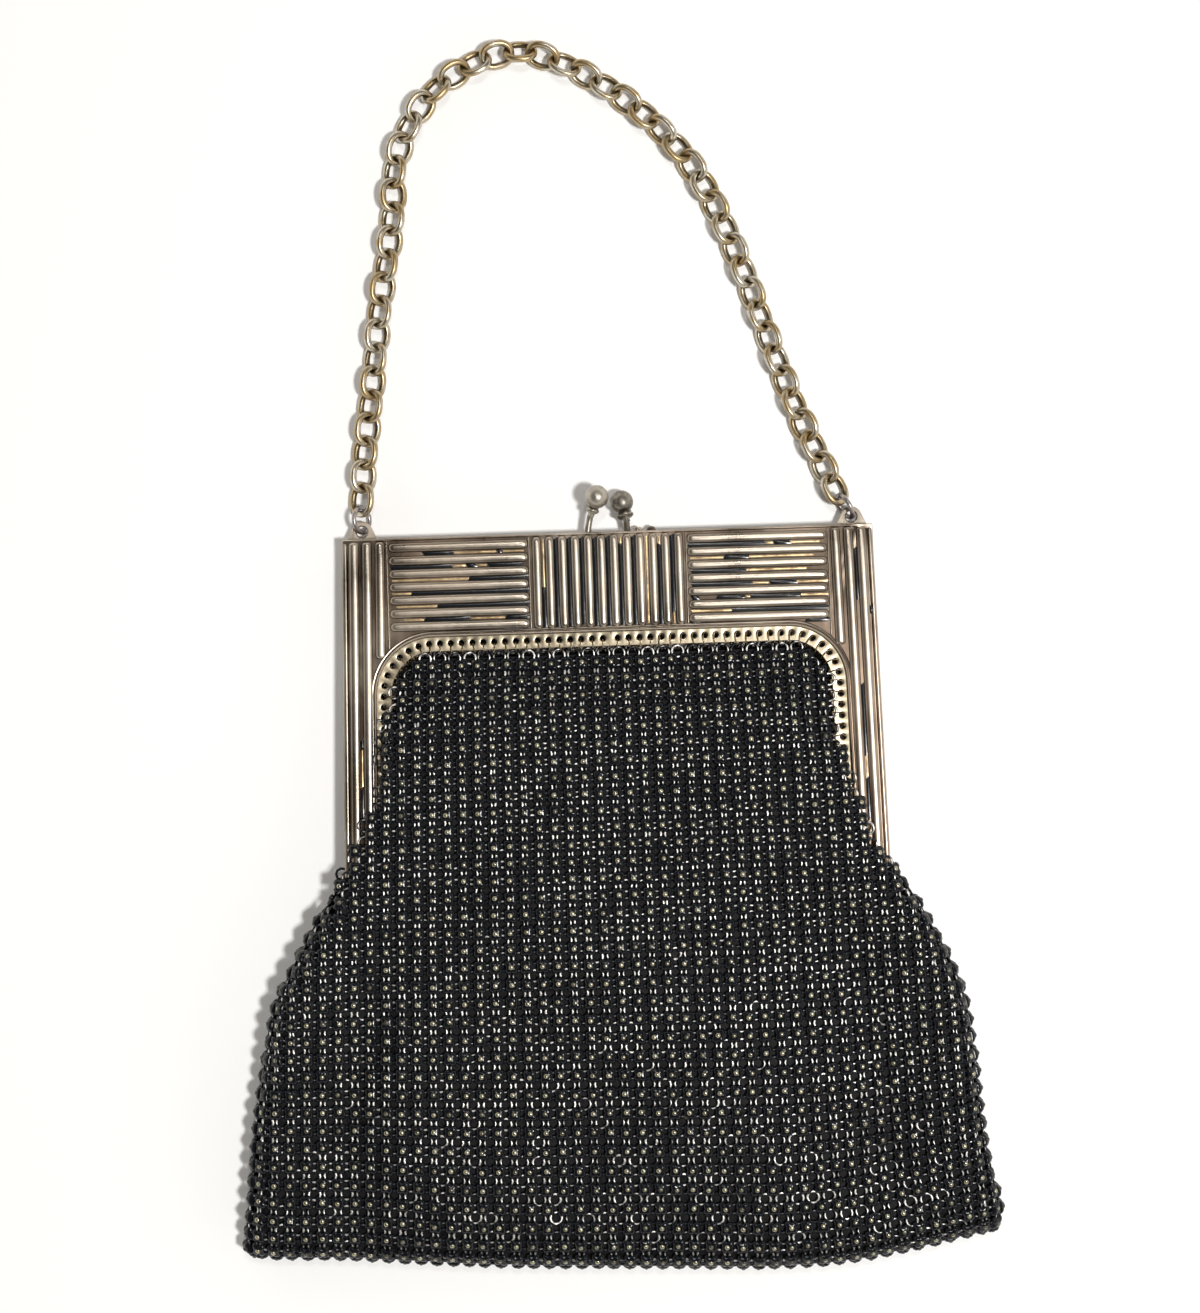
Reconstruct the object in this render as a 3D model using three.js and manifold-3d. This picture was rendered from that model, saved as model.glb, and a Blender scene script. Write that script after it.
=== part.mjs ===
// Metal mesh purse, lying flat. Millimetres.
// X runs along the frame, Y from the bag towards the handle chain, Z up from the table.
// A snap frame of two reeded halves closes on a kiss-lock clasp. A hollow bag of armour mesh
// hangs from the pierced rims, and a chain of oval links joins the two ears of the back half.
import * as THREE from "three";
import { mergeGeometries, mergeVertices } from "three/addons/utils/BufferGeometryUtils.js";
import Module from "manifold-3d";

const wasm = await Module();
wasm.setup();

// Clearance between pieces
const GAP = 0.3;
const BITE = 0.3; // how far soldered shapes reach into each other

// Frame: two halves, face to face, each a pressed channel
const FRAME_WIDTH = 133;
const LEG_LENGTH = 86;
const LEG_SPREAD = 1.6; // each leg stands this much further out at its lower end
const FRAME_DEPTH = 8; // both halves, reed to reed
const SHEET = 1.1;
const FLANGE = 1.4; // plain border outside the reeds
const FLANGE_DROP = 0.6; // border below the floor of the reeds
const FRAME_LIFT = 3; // the legs end this high off the table, on the back of the mesh

// Arch: the inner line of the frame, from outside to inside a moulding and a pierced rim
const LEG_WIDTH = 7.1; // flange and reeds beside the moulding, at the top
const ARCH_TOP = 23.6; // below the top edge
const ARCH_RADIUS = 15.5;
const ARCH_STEPS = 5;
const MOULDING = 1.5;
const MOULDING_RISE = 0.55;
const RIM_WIDTH = 3.4;
const RIM_THICK = 0.9;
const RIM_DROP = 0.5; // rim below the floor of the reeds
const RIM_HOLE = 1.5;
const RIM_HOLE_PITCH = 2.72;
const RIM_HOLE_SIDES = 5;
const RIM_HOLES = 48;
const RIM_HOLE_PLACE = 0.45; // share of the rim's width, from the moulding

// Reeds
const REED_HEIGHT = 0.9;
const REED_SHARE = 0.7; // width of a reed as a share of its pitch
const REED_STEPS = 3;
const SIDE_REEDS = 3;
const SIDE_REED_PITCH = 3.25;
const PANEL_REEDS = 7;
const CENTRE_REEDS = 12;
const CENTRE_PANEL = 38.8;
const TOP_LIP = 1;
const PANEL_SEAM = 0.5; // groove between neighbouring panels
const PANEL_BASE = FLANGE_DROP + BITE; // panels reach this far below their floor

// Hinge at the end of each leg
const HINGE_RADIUS = 2.8;
const HINGE_LEAF = 2.2;
const PIN_RADIUS = 0.9;
const HINGE_UP = 2.6; // pin above the end of the leg

// Clasp
const BALL_RADIUS = 2.95;
const COLLAR_RADIUS = 1.5;
const COLLAR_HEIGHT = 1.3;
const STEM_RADIUS = 0.8;
const FOOT = { length: 9, width: 4.4, thick: 0.8 };
const RIVET_RADIUS = 1.1;
const RIVET_SPACING = 3.4;
const RIVET_X = 9.5;

// Ears and jump rings
const EAR_INSET = 4.9; // hole inside the end of the frame
const EAR_UP = 2.2; // hole above the top edge
const EAR_RADIUS = 2.6;
const EAR_BASE = 8.4;
const EAR_THICK = 0.9;
const EAR_HOLE = 2.8;
const RING_RADIUS = 3.15;
const RING_WIRE = 1.2;
const RING_SIDES = 12;
const RING_TILT = 32; // degrees from upright
const RING_AIMS = { left: 91, right: 120 }; // degrees, from the ear towards the chain

// Handle chain
const LINK_PITCH = 5.9;
const LINK_WIDTH = 6.4;
const LINK_WIRE = 1.75;
const LINK_SIDES = 10;
const WIRE_SIDES = 5;
const LINK_ROLL = 45;
const LINK_BITE = 0.24; // how far neighbouring links are worn into each other
// Places along the middle of the handle, from the left ring to the right one
const CHAIN_ROUTE = [
  [-60.3, 22],
  [-57.6, 41],
  [-55.2, 60],
  [-51.6, 80],
  [-50, 96.5],
  [-42.4, 110.6],
  [-32.6, 118.2],
  [-18.6, 122.4],
  [-8.2, 119.2],
  [4.6, 111.8],
  [14.2, 104],
  [23.2, 93.8],
  [29.4, 82.8],
  [36.4, 65.6],
  [42.4, 47.8],
  [49.4, 28.4],
  [54.8, 16],
];

// Bag
const BAG_LENGTH = 148; // mouth to the corners of the bottom fold
const BAG_HALF_WIDTH = 96;
const BAG_DEPTH = 13.6;
const BAG_SAG = 7.6; // the bottom fold hangs this much lower in the middle
const MESH_WALL = 1.8;
const EDGE_ROUND = 5.5; // roundness of the side folds
const MOUTH_GAP = 0.4; // mesh below the rim
const FOLD_DEPTH = 1.5;
const SHOULDER = 17; // where the mesh spills over the legs, below the mouth

// Rows of the bag from the mouth down. Shares of: BAG_LENGTH, BAG_HALF_WIDTH left and right,
// BAG_DEPTH for the front and for the lift of the back, BAG_SAG, FOLD_DEPTH
const BAG_ROWS = [
  { down: -0.04, left: 0.61, right: 0.61, front: 0.66, lift: 0.04, sag: 0, fold: 0 },
  { down: 0.04, left: 0.615, right: 0.615, front: 0.74, lift: 0.02, sag: 0, fold: 0 },
  { down: 0.12, left: 0.625, right: 0.625, front: 0.88, lift: 0, sag: 0, fold: 0 },
  { down: 0.24, left: 0.665, right: 0.662, front: 0.92, lift: 0, sag: 0, fold: 0 },
  { down: 0.33, left: 0.715, right: 0.715, front: 0.97, lift: 0, sag: 0.02, fold: 0 },
  { down: 0.42, left: 0.79, right: 0.785, front: 1, lift: 0, sag: 0.05, fold: 0.3 },
  { down: 0.51, left: 0.85, right: 0.85, front: 1, lift: 0, sag: 0.1, fold: 0.8 },
  { down: 0.58, left: 0.907, right: 0.893, front: 0.98, lift: 0, sag: 0.2, fold: 1 },
  { down: 0.68, left: 0.94, right: 0.922, front: 0.96, lift: 0, sag: 0.35, fold: 1 },
  { down: 0.8, left: 0.968, right: 0.94, front: 0.92, lift: 0, sag: 0.6, fold: 1 },
  { down: 0.9, left: 0.993, right: 0.965, front: 0.84, lift: 0, sag: 0.85, fold: 0.8 },
  { down: 0.965, left: 1.007, right: 0.99, front: 0.72, lift: 0, sag: 1, fold: 0.4 },
  { down: 0.993, left: 1, right: 0.99, front: 0.55, lift: 0.06, sag: 1, fold: 0 },
  { down: 1, left: 0.985, right: 0.975, front: 0.42, lift: 0.16, sag: 1, fold: 0 },
];
// Places across the front of a row, as shares of its half width, and the fold's depth there
const FRONT_PLACES = [
  { across: 0.96, fold: 0 },
  { across: 0.87, fold: 0.35 },
  { across: 0.78, fold: 1 },
  { across: 0.66, fold: 0.2 },
  { across: 0.35, fold: 0 },
];
const BACK_PLACES = [0.5];
const EDGE_STEPS = 3;

// Materials
const silver = { color: 0x9a9184, roughness: 0.38, metalness: 1 };
const brass = { color: 0x8d7c56, roughness: 0.42, metalness: 1 };
const steel = { color: 0x6d6870, roughness: 0.35, metalness: 1 };
const enamel = { color: 0x17191a, roughness: 0.3, metalness: 0.2 };

// Solids

function solidOf(geometry) {
  const bare = geometry.index ? geometry.toNonIndexed() : geometry.clone();
  bare.deleteAttribute("normal");
  bare.deleteAttribute("uv");
  const merged = mergeVertices(bare, 1e-4);
  const mesh = new wasm.Mesh({
    numProp: 3,
    vertProperties: new Float32Array(merged.attributes.position.array),
    triVerts: new Uint32Array(merged.index.array),
  });
  return new wasm.Manifold(mesh);
}

function geometryOf(solid) {
  const mesh = solid.getMesh();
  const places = new THREE.BufferAttribute(new Float32Array(mesh.vertProperties), 3);
  const indexed = new THREE.BufferGeometry().setAttribute("position", places);
  indexed.setIndex(new THREE.BufferAttribute(new Uint32Array(mesh.triVerts), 1));
  const flat = indexed.toNonIndexed();
  flat.computeVertexNormals();
  return flat;
}

function pieceOf(name, solid, finish) {
  const material = new THREE.MeshStandardMaterial(finish);
  const piece = new THREE.Mesh(geometryOf(solid), material);
  piece.name = name;
  return piece;
}

function joined(solids) {
  return solids.reduce((whole, next) => whole.add(next));
}

function slab(shape, low, high) {
  const settings = { depth: high - low, bevelEnabled: false };
  return solidOf(new THREE.ExtrudeGeometry(shape, settings).translate(0, 0, low));
}

function block(low, high) {
  const size = high.map((top, axis) => top - low[axis]);
  const middle = high.map((top, axis) => (top + low[axis]) / 2);
  return solidOf(new THREE.BoxGeometry(...size).translate(...middle));
}

function shapeOf(points) {
  return new THREE.Shape(points.map(([x, y]) => new THREE.Vector2(x, y)));
}

// The back half is the front half turned over about the plane where they meet.
function turnedOver(solid) {
  return solid.translate([0, 0, -FRAME_DEPTH / 2]).rotate([0, 180, 0]).translate([0, 0, FRAME_DEPTH / 2]);
}

// Frame

const seam = FRAME_DEPTH / 2 + GAP / 2; // where the front half begins
const floorZ = FRAME_DEPTH - REED_HEIGHT; // between the reeds
const archHalfWidth = FRAME_WIDTH / 2 - LEG_WIDTH;
const hingeY = -LEG_LENGTH + HINGE_UP;

function spreadAt(y) {
  return LEG_SPREAD * Math.min(1, Math.max(0, -y / LEG_LENGTH));
}

// The arch, drawn inset from the outside of its moulding, from the left leg round to the right.
function archPoints(inset, bottom) {
  const half = archHalfWidth - inset;
  const top = -ARCH_TOP - inset;
  const radius = ARCH_RADIUS - inset;
  const points = [[-half - spreadAt(bottom), bottom]];
  for (const side of [-1, 1]) {
    const centreX = side * (half - radius + spreadAt(top - radius));
    for (let step = 0; step <= ARCH_STEPS; step += 1) {
      const along = side < 0 ? step / ARCH_STEPS : 1 - step / ARCH_STEPS;
      const angle = (along * Math.PI) / 2;
      const x = centreX + side * radius * Math.cos(angle);
      points.push([x, top - radius + radius * Math.sin(angle)]);
    }
  }
  points.push([half + spreadAt(bottom), bottom]);
  return points;
}

// The frame's outline, with each of its edges moved inwards.
function frameShape({ outer = 0, arch = 0, end = 0 }) {
  const bottom = -LEG_LENGTH + end;
  const half = FRAME_WIDTH / 2 - outer;
  const corners = [
    [half + spreadAt(bottom), bottom],
    [half, -outer],
    [-half, -outer],
    [-half - spreadAt(bottom), bottom],
  ];
  return shapeOf([...corners, ...archPoints(arch, bottom)]);
}

function archBand(from, to) {
  const outside = archPoints(from, -LEG_LENGTH);
  const inside = archPoints(to, -LEG_LENGTH).reverse();
  return shapeOf([...inside, ...outside]);
}

// A panel of low half-round reeds side by side, running along Y from its far end at the origin.
function reededPanel(count, pitch, length) {
  const half = (pitch * REED_SHARE) / 2;
  const width = count * pitch;
  const points = [[width / 2, -PANEL_BASE]];
  for (let index = count - 1; index >= 0; index -= 1) {
    const middle = (index + 0.5) * pitch - width / 2;
    for (let step = 0; step <= REED_STEPS; step += 1) {
      const angle = (step / REED_STEPS) * Math.PI;
      points.push([middle + half * Math.cos(angle), REED_HEIGHT * Math.sin(angle)]);
    }
  }
  points.push([-width / 2, -PANEL_BASE]);
  const panel = new THREE.ExtrudeGeometry(shapeOf(points), { depth: length, bevelEnabled: false });
  return panel.rotateX(Math.PI / 2);
}

function reeds() {
  const panels = [];
  const top = BITE - TOP_LIP;
  const panelHeight = ARCH_TOP + BITE + top;
  const sideWidth = SIDE_REEDS * SIDE_REED_PITCH;
  const sideX = FRAME_WIDTH / 2 - FLANGE - sideWidth / 2;
  const acrossLength = sideX - sideWidth / 2 - CENTRE_PANEL / 2 - 2 * PANEL_SEAM;
  for (const side of [-1, 1]) {
    const bar = reededPanel(SIDE_REEDS, SIDE_REED_PITCH, LEG_LENGTH);
    bar.rotateZ(side * Math.atan2(LEG_SPREAD, LEG_LENGTH));
    panels.push(bar.translate(side * sideX, top, floorZ));
    const across = reededPanel(PANEL_REEDS, panelHeight / PANEL_REEDS, acrossLength);
    across.rotateZ(Math.PI / 2);
    const start = side < 0 ? -CENTRE_PANEL / 2 - PANEL_SEAM - acrossLength : CENTRE_PANEL / 2 + PANEL_SEAM;
    panels.push(across.translate(start, top - panelHeight / 2, floorZ));
  }
  const centre = reededPanel(CENTRE_REEDS, CENTRE_PANEL / CENTRE_REEDS, panelHeight);
  panels.push(centre.translate(0, top, floorZ));
  const inside = slab(frameShape({ arch: MOULDING / 2 }), floorZ - 2 * PANEL_BASE, FRAME_DEPTH + 1);
  return joined(panels.map(solidOf)).intersect(inside);
}

// Evenly spaced holes along the middle of the rim.
function rimHoles() {
  const line = archPoints(MOULDING + RIM_WIDTH * RIM_HOLE_PLACE, -LEG_LENGTH);
  const path = new THREE.CurvePath();
  for (let index = 1; index < line.length; index += 1) {
    const from = new THREE.Vector2(...line[index - 1]);
    path.add(new THREE.LineCurve(from, new THREE.Vector2(...line[index])));
  }
  const length = path.getLength();
  const holes = [];
  for (let index = 0; index < RIM_HOLES; index += 1) {
    const along = length / 2 + (index - (RIM_HOLES - 1) / 2) * RIM_HOLE_PITCH;
    const place = path.getPointAt(along / length);
    const drill = new THREE.CylinderGeometry(RIM_HOLE / 2, RIM_HOLE / 2, FRAME_DEPTH, RIM_HOLE_SIDES);
    holes.push(drill.rotateX(Math.PI / 2).translate(place.x, place.y, FRAME_DEPTH));
  }
  return solidOf(mergeGeometries(holes));
}

function crosswise(radius, fromX, toX, sides) {
  const rod = new THREE.CylinderGeometry(radius, radius, Math.abs(toX - fromX), sides);
  return rod.rotateZ(Math.PI / 2).translate((fromX + toX) / 2, hingeY, FRAME_DEPTH / 2);
}

// Two leaves on each leg turn on one pin: the outer leaf is the front half's.
const hingeMiddle = FRAME_WIDTH / 2 + LEG_SPREAD - FLANGE - 2 * HINGE_LEAF;
const frontLeaf = [hingeMiddle + GAP / 2, hingeMiddle + HINGE_LEAF];
const backLeaf = [hingeMiddle - HINGE_LEAF, hingeMiddle - GAP / 2];

function leaves(range, grow) {
  const ends = [range[0] - grow, range[1] + grow];
  const discs = [-1, 1].map((side) => crosswise(HINGE_RADIUS + grow, side * ends[0], side * ends[1], 8));
  return solidOf(mergeGeometries(discs));
}

function pinBores() {
  const reach = [backLeaf[0] - 2 * GAP, frontLeaf[1] + 2 * GAP];
  const bores = [-1, 1].map((side) => crosswise(PIN_RADIUS + GAP, side * reach[0], side * reach[1], 6));
  return solidOf(mergeGeometries(bores));
}

function frameHalf(ownLeaf, otherLeaf) {
  const moulding = slab(archBand(0, MOULDING), seam, floorZ + MOULDING_RISE);
  const rimLow = floorZ - RIM_DROP - RIM_THICK;
  const rim = slab(archBand(MOULDING - BITE, MOULDING + RIM_WIDTH), rimLow, rimLow + RIM_THICK);
  const inside = frameShape({ outer: SHEET, arch: -SHEET, end: 3 * HINGE_RADIUS });
  const hollow = slab(inside, seam - SHEET, floorZ - SHEET);
  const border = slab(frameShape({ arch: MOULDING / 2 }), seam, floorZ - FLANGE_DROP);
  const face = slab(frameShape({ outer: FLANGE, arch: MOULDING / 2 }), seam, floorZ - BITE);
  const top = block([-FRAME_WIDTH / 2, -TOP_LIP, seam], [FRAME_WIDTH / 2, 0, floorZ]);
  return joined([border, face, top, moulding])
    .subtract(hollow)
    .add(rim)
    .subtract(rimHoles())
    .add(reeds())
    .add(leaves(ownLeaf, 0))
    .subtract(leaves(otherLeaf, GAP))
    .subtract(pinBores());
}

// Clasp: each ball stands on a stem that comes out through a notch in the top edge.
const stemZ = floorZ - SHEET - GAP - STEM_RADIUS; // just under the ceiling of the hollow
const footY = -SHEET - GAP - BITE;
const clasps = {
  front: { foot: [-5.1, footY, stemZ], bow: [-4.3, 3.2, stemZ + 0.5], ball: [-2.3, 8.7, 8.6] },
  back: { foot: [5.3, footY, FRAME_DEPTH - stemZ], bow: [4.9, 2.6, 3.2], ball: [3.9, 7.6, 5.1] },
};

function along(from, to, share) {
  return from.map((value, axis) => value + (to[axis] - value) * share);
}

function clasp({ foot, ball, bow }) {
  const sphere = solidOf(new THREE.SphereGeometry(BALL_RADIUS, 12, 7).translate(...ball));
  const places = [foot, bow, along(bow, ball, 0.75)].map((place) => new THREE.Vector3(...place));
  const path = new THREE.CatmullRomCurve3(places);
  const section = new THREE.Shape().absarc(0, 0, STEM_RADIUS, 0, 2 * Math.PI);
  const stemSettings = { steps: 5, curveSegments: 3, extrudePath: path, bevelEnabled: false };
  const stem = solidOf(new THREE.ExtrudeGeometry(section, stemSettings));
  const neck = new THREE.CylinderGeometry(COLLAR_RADIUS, COLLAR_RADIUS * 0.8, COLLAR_HEIGHT, 12);
  const aim = new THREE.Vector3(...ball).sub(new THREE.Vector3(...bow)).normalize();
  const turn = new THREE.Quaternion().setFromUnitVectors(new THREE.Vector3(0, 1, 0), aim);
  neck.applyQuaternion(turn);
  const seat = aim.clone().multiplyScalar(-(BALL_RADIUS + COLLAR_HEIGHT * 0.2));
  neck.translate(ball[0] + seat.x, ball[1] + seat.y, ball[2] + seat.z);
  const plateTop = foot[1] + BITE;
  const low = [foot[0] - FOOT.length / 2, plateTop - FOOT.width, foot[2] - FOOT.thick / 2];
  const high = [foot[0] + FOOT.length / 2, plateTop, foot[2] + FOOT.thick / 2];
  return joined([sphere, stem, solidOf(neck), block(low, high)]);
}

function stemNotch({ foot, bow }) {
  const reach = STEM_RADIUS + GAP;
  const x = [Math.min(foot[0], bow[0]) - reach, Math.max(foot[0], bow[0]) + reach];
  const middle = FRAME_DEPTH / 2;
  const z = foot[2] > middle ? [middle, bow[2] + reach] : [foot[2] - reach, middle];
  return block([x[0], -TOP_LIP - SHEET, z[0]], [x[1], 1, z[1]]);
}

// Ears stand on the top edge of the back half, just behind the seam.
const earTopZ = FRAME_DEPTH - seam - GAP / 2;
const earZ = earTopZ - EAR_THICK / 2;
const earX = FRAME_WIDTH / 2 - EAR_INSET;

function ear(side) {
  const shape = new THREE.Shape();
  const x = side * earX;
  const limit = FRAME_WIDTH / 2 - BITE;
  const outer = Math.min(x + EAR_BASE / 2, limit);
  const inner = Math.max(x - EAR_BASE / 2, -limit);
  shape.moveTo(inner, -SHEET / 2);
  shape.lineTo(outer, -SHEET / 2);
  shape.lineTo(outer, BITE);
  shape.absarc(x, EAR_UP, EAR_RADIUS, 0.1, Math.PI - 0.1);
  shape.lineTo(inner, BITE);
  const hole = new THREE.Path().absarc(x, EAR_UP, EAR_HOLE / 2, 0, 2 * Math.PI);
  shape.holes.push(hole);
  const settings = { depth: EAR_THICK, bevelEnabled: false, curveSegments: 5 };
  return solidOf(new THREE.ExtrudeGeometry(shape, settings).translate(0, 0, earTopZ - EAR_THICK));
}

function rivets() {
  const low = FRAME_DEPTH - seam - RIVET_RADIUS - 0.2;
  const heads = [0, 1].map((index) => {
    const head = new THREE.SphereGeometry(RIVET_RADIUS, 8, 6);
    return head.translate(RIVET_X - RIVET_SPACING / 2 + index * RIVET_SPACING, -0.1, low);
  });
  return solidOf(mergeGeometries(heads));
}

// Bag

const mouthY = -ARCH_TOP - MOULDING - RIM_WIDTH - MOUTH_GAP;

// One row of the bag, moved inwards by the wall where inset is set.
function bagRow(row, inset) {
  const left = row.left * BAG_HALF_WIDTH - inset;
  const right = row.right * BAG_HALF_WIDTH - inset;
  const low = row.lift * BAG_DEPTH + inset;
  const high = row.front * BAG_DEPTH - inset;
  const middle = (low + high) / 2;
  const rise = (high - low) / 2;
  const round = EDGE_ROUND - inset / 2;
  const y = mouthY - row.down * BAG_LENGTH;
  const points = [];
  const put = (x, z) => {
    const share = x / BAG_HALF_WIDTH;
    points.push([x, y - row.sag * BAG_SAG * Math.max(0, 1 - share * share), z]);
  };
  for (let step = 0; step <= EDGE_STEPS; step += 1) {
    const angle = (step / EDGE_STEPS - 0.5) * Math.PI;
    put(right - round + round * Math.cos(angle), middle + rise * Math.sin(angle));
  }
  const folded = (place) => high - row.fold * place.fold * FOLD_DEPTH;
  FRONT_PLACES.forEach((place) => put((right - round) * place.across, folded(place)));
  [...FRONT_PLACES].reverse().forEach((place) => put((round - left) * place.across, folded(place)));
  for (let step = 0; step <= EDGE_STEPS; step += 1) {
    const angle = (step / EDGE_STEPS + 0.5) * Math.PI;
    put(round - left + round * Math.cos(angle), middle + rise * Math.sin(angle));
  }
  BACK_PLACES.forEach((across) => put((round - left) * across, low));
  [...BACK_PLACES].reverse().forEach((across) => put((right - round) * across, low));
  return points;
}

// A closed solid through rings of points, with a fan over each end.
function lofted(rings) {
  const places = rings.flat(2);
  const count = rings[0].length;
  const faces = [];
  for (let ring = 0; ring + 1 < rings.length; ring += 1) {
    for (let index = 0; index < count; index += 1) {
      const next = (index + 1) % count;
      const [a, b] = [ring * count + index, ring * count + next];
      const [c, d] = [a + count, b + count];
      faces.push(a, b, c, b, d, c);
    }
  }
  for (const [ring, turn] of [[0, 0], [rings.length - 1, 1]]) {
    const flat = rings[ring].map(([x, , z]) => new THREE.Vector2(x, z));
    for (const [a, b, c] of THREE.ShapeUtils.triangulateShape(flat, [])) {
      const corners = turn ? [a, b, c] : [c, b, a];
      faces.push(...corners.map((corner) => ring * count + corner));
    }
  }
  const geometry = new THREE.BufferGeometry();
  geometry.setAttribute("position", new THREE.Float32BufferAttribute(places, 3));
  geometry.setIndex(faces);
  return solidOf(geometry);
}

// The room that the mesh may take: below the rim, and wider from the shoulders down.
function meshRoom() {
  const inner = archPoints(MOULDING + RIM_WIDTH + MOUTH_GAP, mouthY - SHOULDER);
  const wide = 2 * BAG_HALF_WIDTH;
  const low = mouthY - BAG_LENGTH - 2 * BAG_SAG;
  const shoulderY = mouthY - SHOULDER - MOULDING - RIM_WIDTH;
  const corners = [
    [wide, shoulderY],
    [wide, low],
    [-wide, low],
    [-wide, shoulderY],
    [-archHalfWidth, shoulderY],
  ];
  return slab(shapeOf([...inner, [archHalfWidth, shoulderY], ...corners]), -5, BAG_DEPTH + 5);
}

function tilted(solid) {
  const degrees = THREE.MathUtils.radToDeg(Math.atan2(FRAME_LIFT, LEG_LENGTH));
  return solid.rotate([-degrees, 0, 0]);
}

function legRoom() {
  const room = frameShape({ outer: -GAP, arch: MOULDING + RIM_WIDTH + GAP, end: -GAP });
  return tilted(slab(room, -GAP, FRAME_DEPTH + GAP));
}

function meshBag() {
  const outer = lofted(BAG_ROWS.map((row) => bagRow(row, 0)));
  const last = BAG_ROWS.length - 1;
  const first = { ...BAG_ROWS[0], down: BAG_ROWS[0].down - MESH_WALL / BAG_LENGTH };
  const end = { ...BAG_ROWS[last - 1], down: 1 - (2 * MESH_WALL) / BAG_LENGTH };
  const rows = [first, ...BAG_ROWS.slice(1, last - 1), end];
  const cavity = lofted(rows.map((row) => bagRow(row, MESH_WALL)));
  return outer.intersect(meshRoom()).subtract(cavity).subtract(legRoom());
}

// Handle

function jumpRing(name, side, aimDegrees) {
  const angle = THREE.MathUtils.degToRad(aimDegrees);
  const ring = new THREE.TorusGeometry(RING_RADIUS, RING_WIRE / 2, WIRE_SIDES, RING_SIDES);
  ring.rotateX(Math.PI / 2 + THREE.MathUtils.degToRad(side * RING_TILT));
  ring.rotateZ(angle);
  const hole = new THREE.Vector3(side * earX, EAR_UP, earZ);
  const aim = new THREE.Vector3(Math.cos(angle), Math.sin(angle), 0);
  const centre = hole.addScaledVector(aim, RING_RADIUS);
  ring.translate(...centre);
  return { name, centre, aim, solid: solidOf(ring) };
}

function chainCurve(leftRing, rightRing) {
  const inside = RING_RADIUS - RING_WIRE / 2 - GAP;
  const reach = inside - LINK_BITE / 2;
  const starts = [leftRing, rightRing].map((ring) => ring.centre.clone().addScaledVector(ring.aim, reach));
  const roll = THREE.MathUtils.degToRad(LINK_ROLL);
  const restZ = ((LINK_WIDTH - LINK_WIRE) / 2) * Math.sin(roll) + LINK_WIRE / 2;
  const middle = CHAIN_ROUTE.map(([x, y]) => new THREE.Vector3(x, y, restZ));
  return new THREE.CatmullRomCurve3([starts[0], ...middle, starts[1]], false, "centripetal");
}

// One oval link. The section of its wire has a corner on the inside, where the next link bears.
function link(from, to, roll) {
  const length = from.distanceTo(to);
  const wire = LINK_WIRE / 2;
  const round = LINK_WIDTH / 2 - wire;
  const halfSide = Math.PI / LINK_SIDES;
  const stretch = length / 2 + wire - LINK_BITE / 2 - round * Math.cos(halfSide);
  const oval = new THREE.TorusGeometry(round, -wire, WIRE_SIDES, LINK_SIDES).rotateZ(halfSide);
  const places = oval.attributes.position;
  for (let index = 0; index < places.count; index += 1) {
    const x = places.getX(index);
    places.setX(index, Math.abs(x) < 1e-4 ? 0 : x + Math.sign(x) * stretch);
  }
  oval.rotateX(roll);
  const aim = to.clone().sub(from).normalize();
  const flat = Math.hypot(aim.x, aim.y);
  oval.rotateY(-Math.atan2(aim.z, flat));
  oval.rotateZ(Math.atan2(aim.y, aim.x));
  const middle = from.clone().add(to).multiplyScalar(0.5);
  oval.translate(middle.x, middle.y, middle.z);
  return solidOf(oval);
}

function chain(leftRing, rightRing) {
  const curve = chainCurve(leftRing, rightRing);
  // An odd number of links, so that both end links cross their rings alike
  const count = 2 * Math.round((curve.getLength() / LINK_PITCH - 1) / 2) + 1;
  const joints = curve.getSpacedPoints(count);
  const roll = THREE.MathUtils.degToRad(LINK_ROLL);
  const links = joints.slice(1).map((to, index) => link(joints[index], to, index % 2 ? roll : -roll));
  return joined(links);
}

// The purse

const frame = new THREE.Group();
frame.rotation.x = -Math.atan2(FRAME_LIFT, LEG_LENGTH);

const front = frameHalf(frontLeaf, backLeaf).subtract(stemNotch(clasps.front));
frame.add(pieceOf("frame_front", front, silver));
const back = turnedOver(frameHalf(backLeaf, frontLeaf))
  .subtract(stemNotch(clasps.back))
  .add(joined([ear(-1), ear(1), rivets()]));
frame.add(pieceOf("frame_back", back, silver));
frame.add(pieceOf("clasp_front", clasp(clasps.front), silver));
frame.add(pieceOf("clasp_back", clasp(clasps.back), silver));
for (const [word, side] of [["left", -1], ["right", 1]]) {
  const pin = solidOf(crosswise(PIN_RADIUS, side * backLeaf[0], side * frontLeaf[1], 6));
  frame.add(pieceOf("hinge_pin_" + word, pin, steel));
}

const leftRing = jumpRing("jump_ring_left", -1, RING_AIMS.left);
const rightRing = jumpRing("jump_ring_right", 1, RING_AIMS.right);

const purse = new THREE.Group();
purse.add(frame);
for (const ring of [leftRing, rightRing]) {
  purse.add(pieceOf(ring.name, ring.solid, steel));
}
purse.add(pieceOf("chain", chain(leftRing, rightRing), brass));
purse.add(pieceOf("mesh_bag", meshBag(), enamel));

// The origin is on the table, under the middle of the purse.
purse.updateMatrixWorld(true);
const extent = new THREE.Box3().setFromObject(purse, true);
purse.position.set(-(extent.min.x + extent.max.x) / 2, -(extent.min.y + extent.max.y) / 2, -extent.min.z);

const part = new THREE.Group();
part.add(purse);
export default part;
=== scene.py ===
"""Looks for a metal mesh purse that lies flat on a pale table.

A reeded snap frame with worn enamel grooves, a kiss-lock clasp, a handle chain of oval links and a
bag of armour mesh: pressed plates with raised centres, each holding the four rings around it.
"""

import math

import bmesh
import bpy
import numpy as np
from bpy.props import FloatProperty, FloatVectorProperty, IntProperty, PointerProperty
from mathutils import Matrix, Vector


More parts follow.
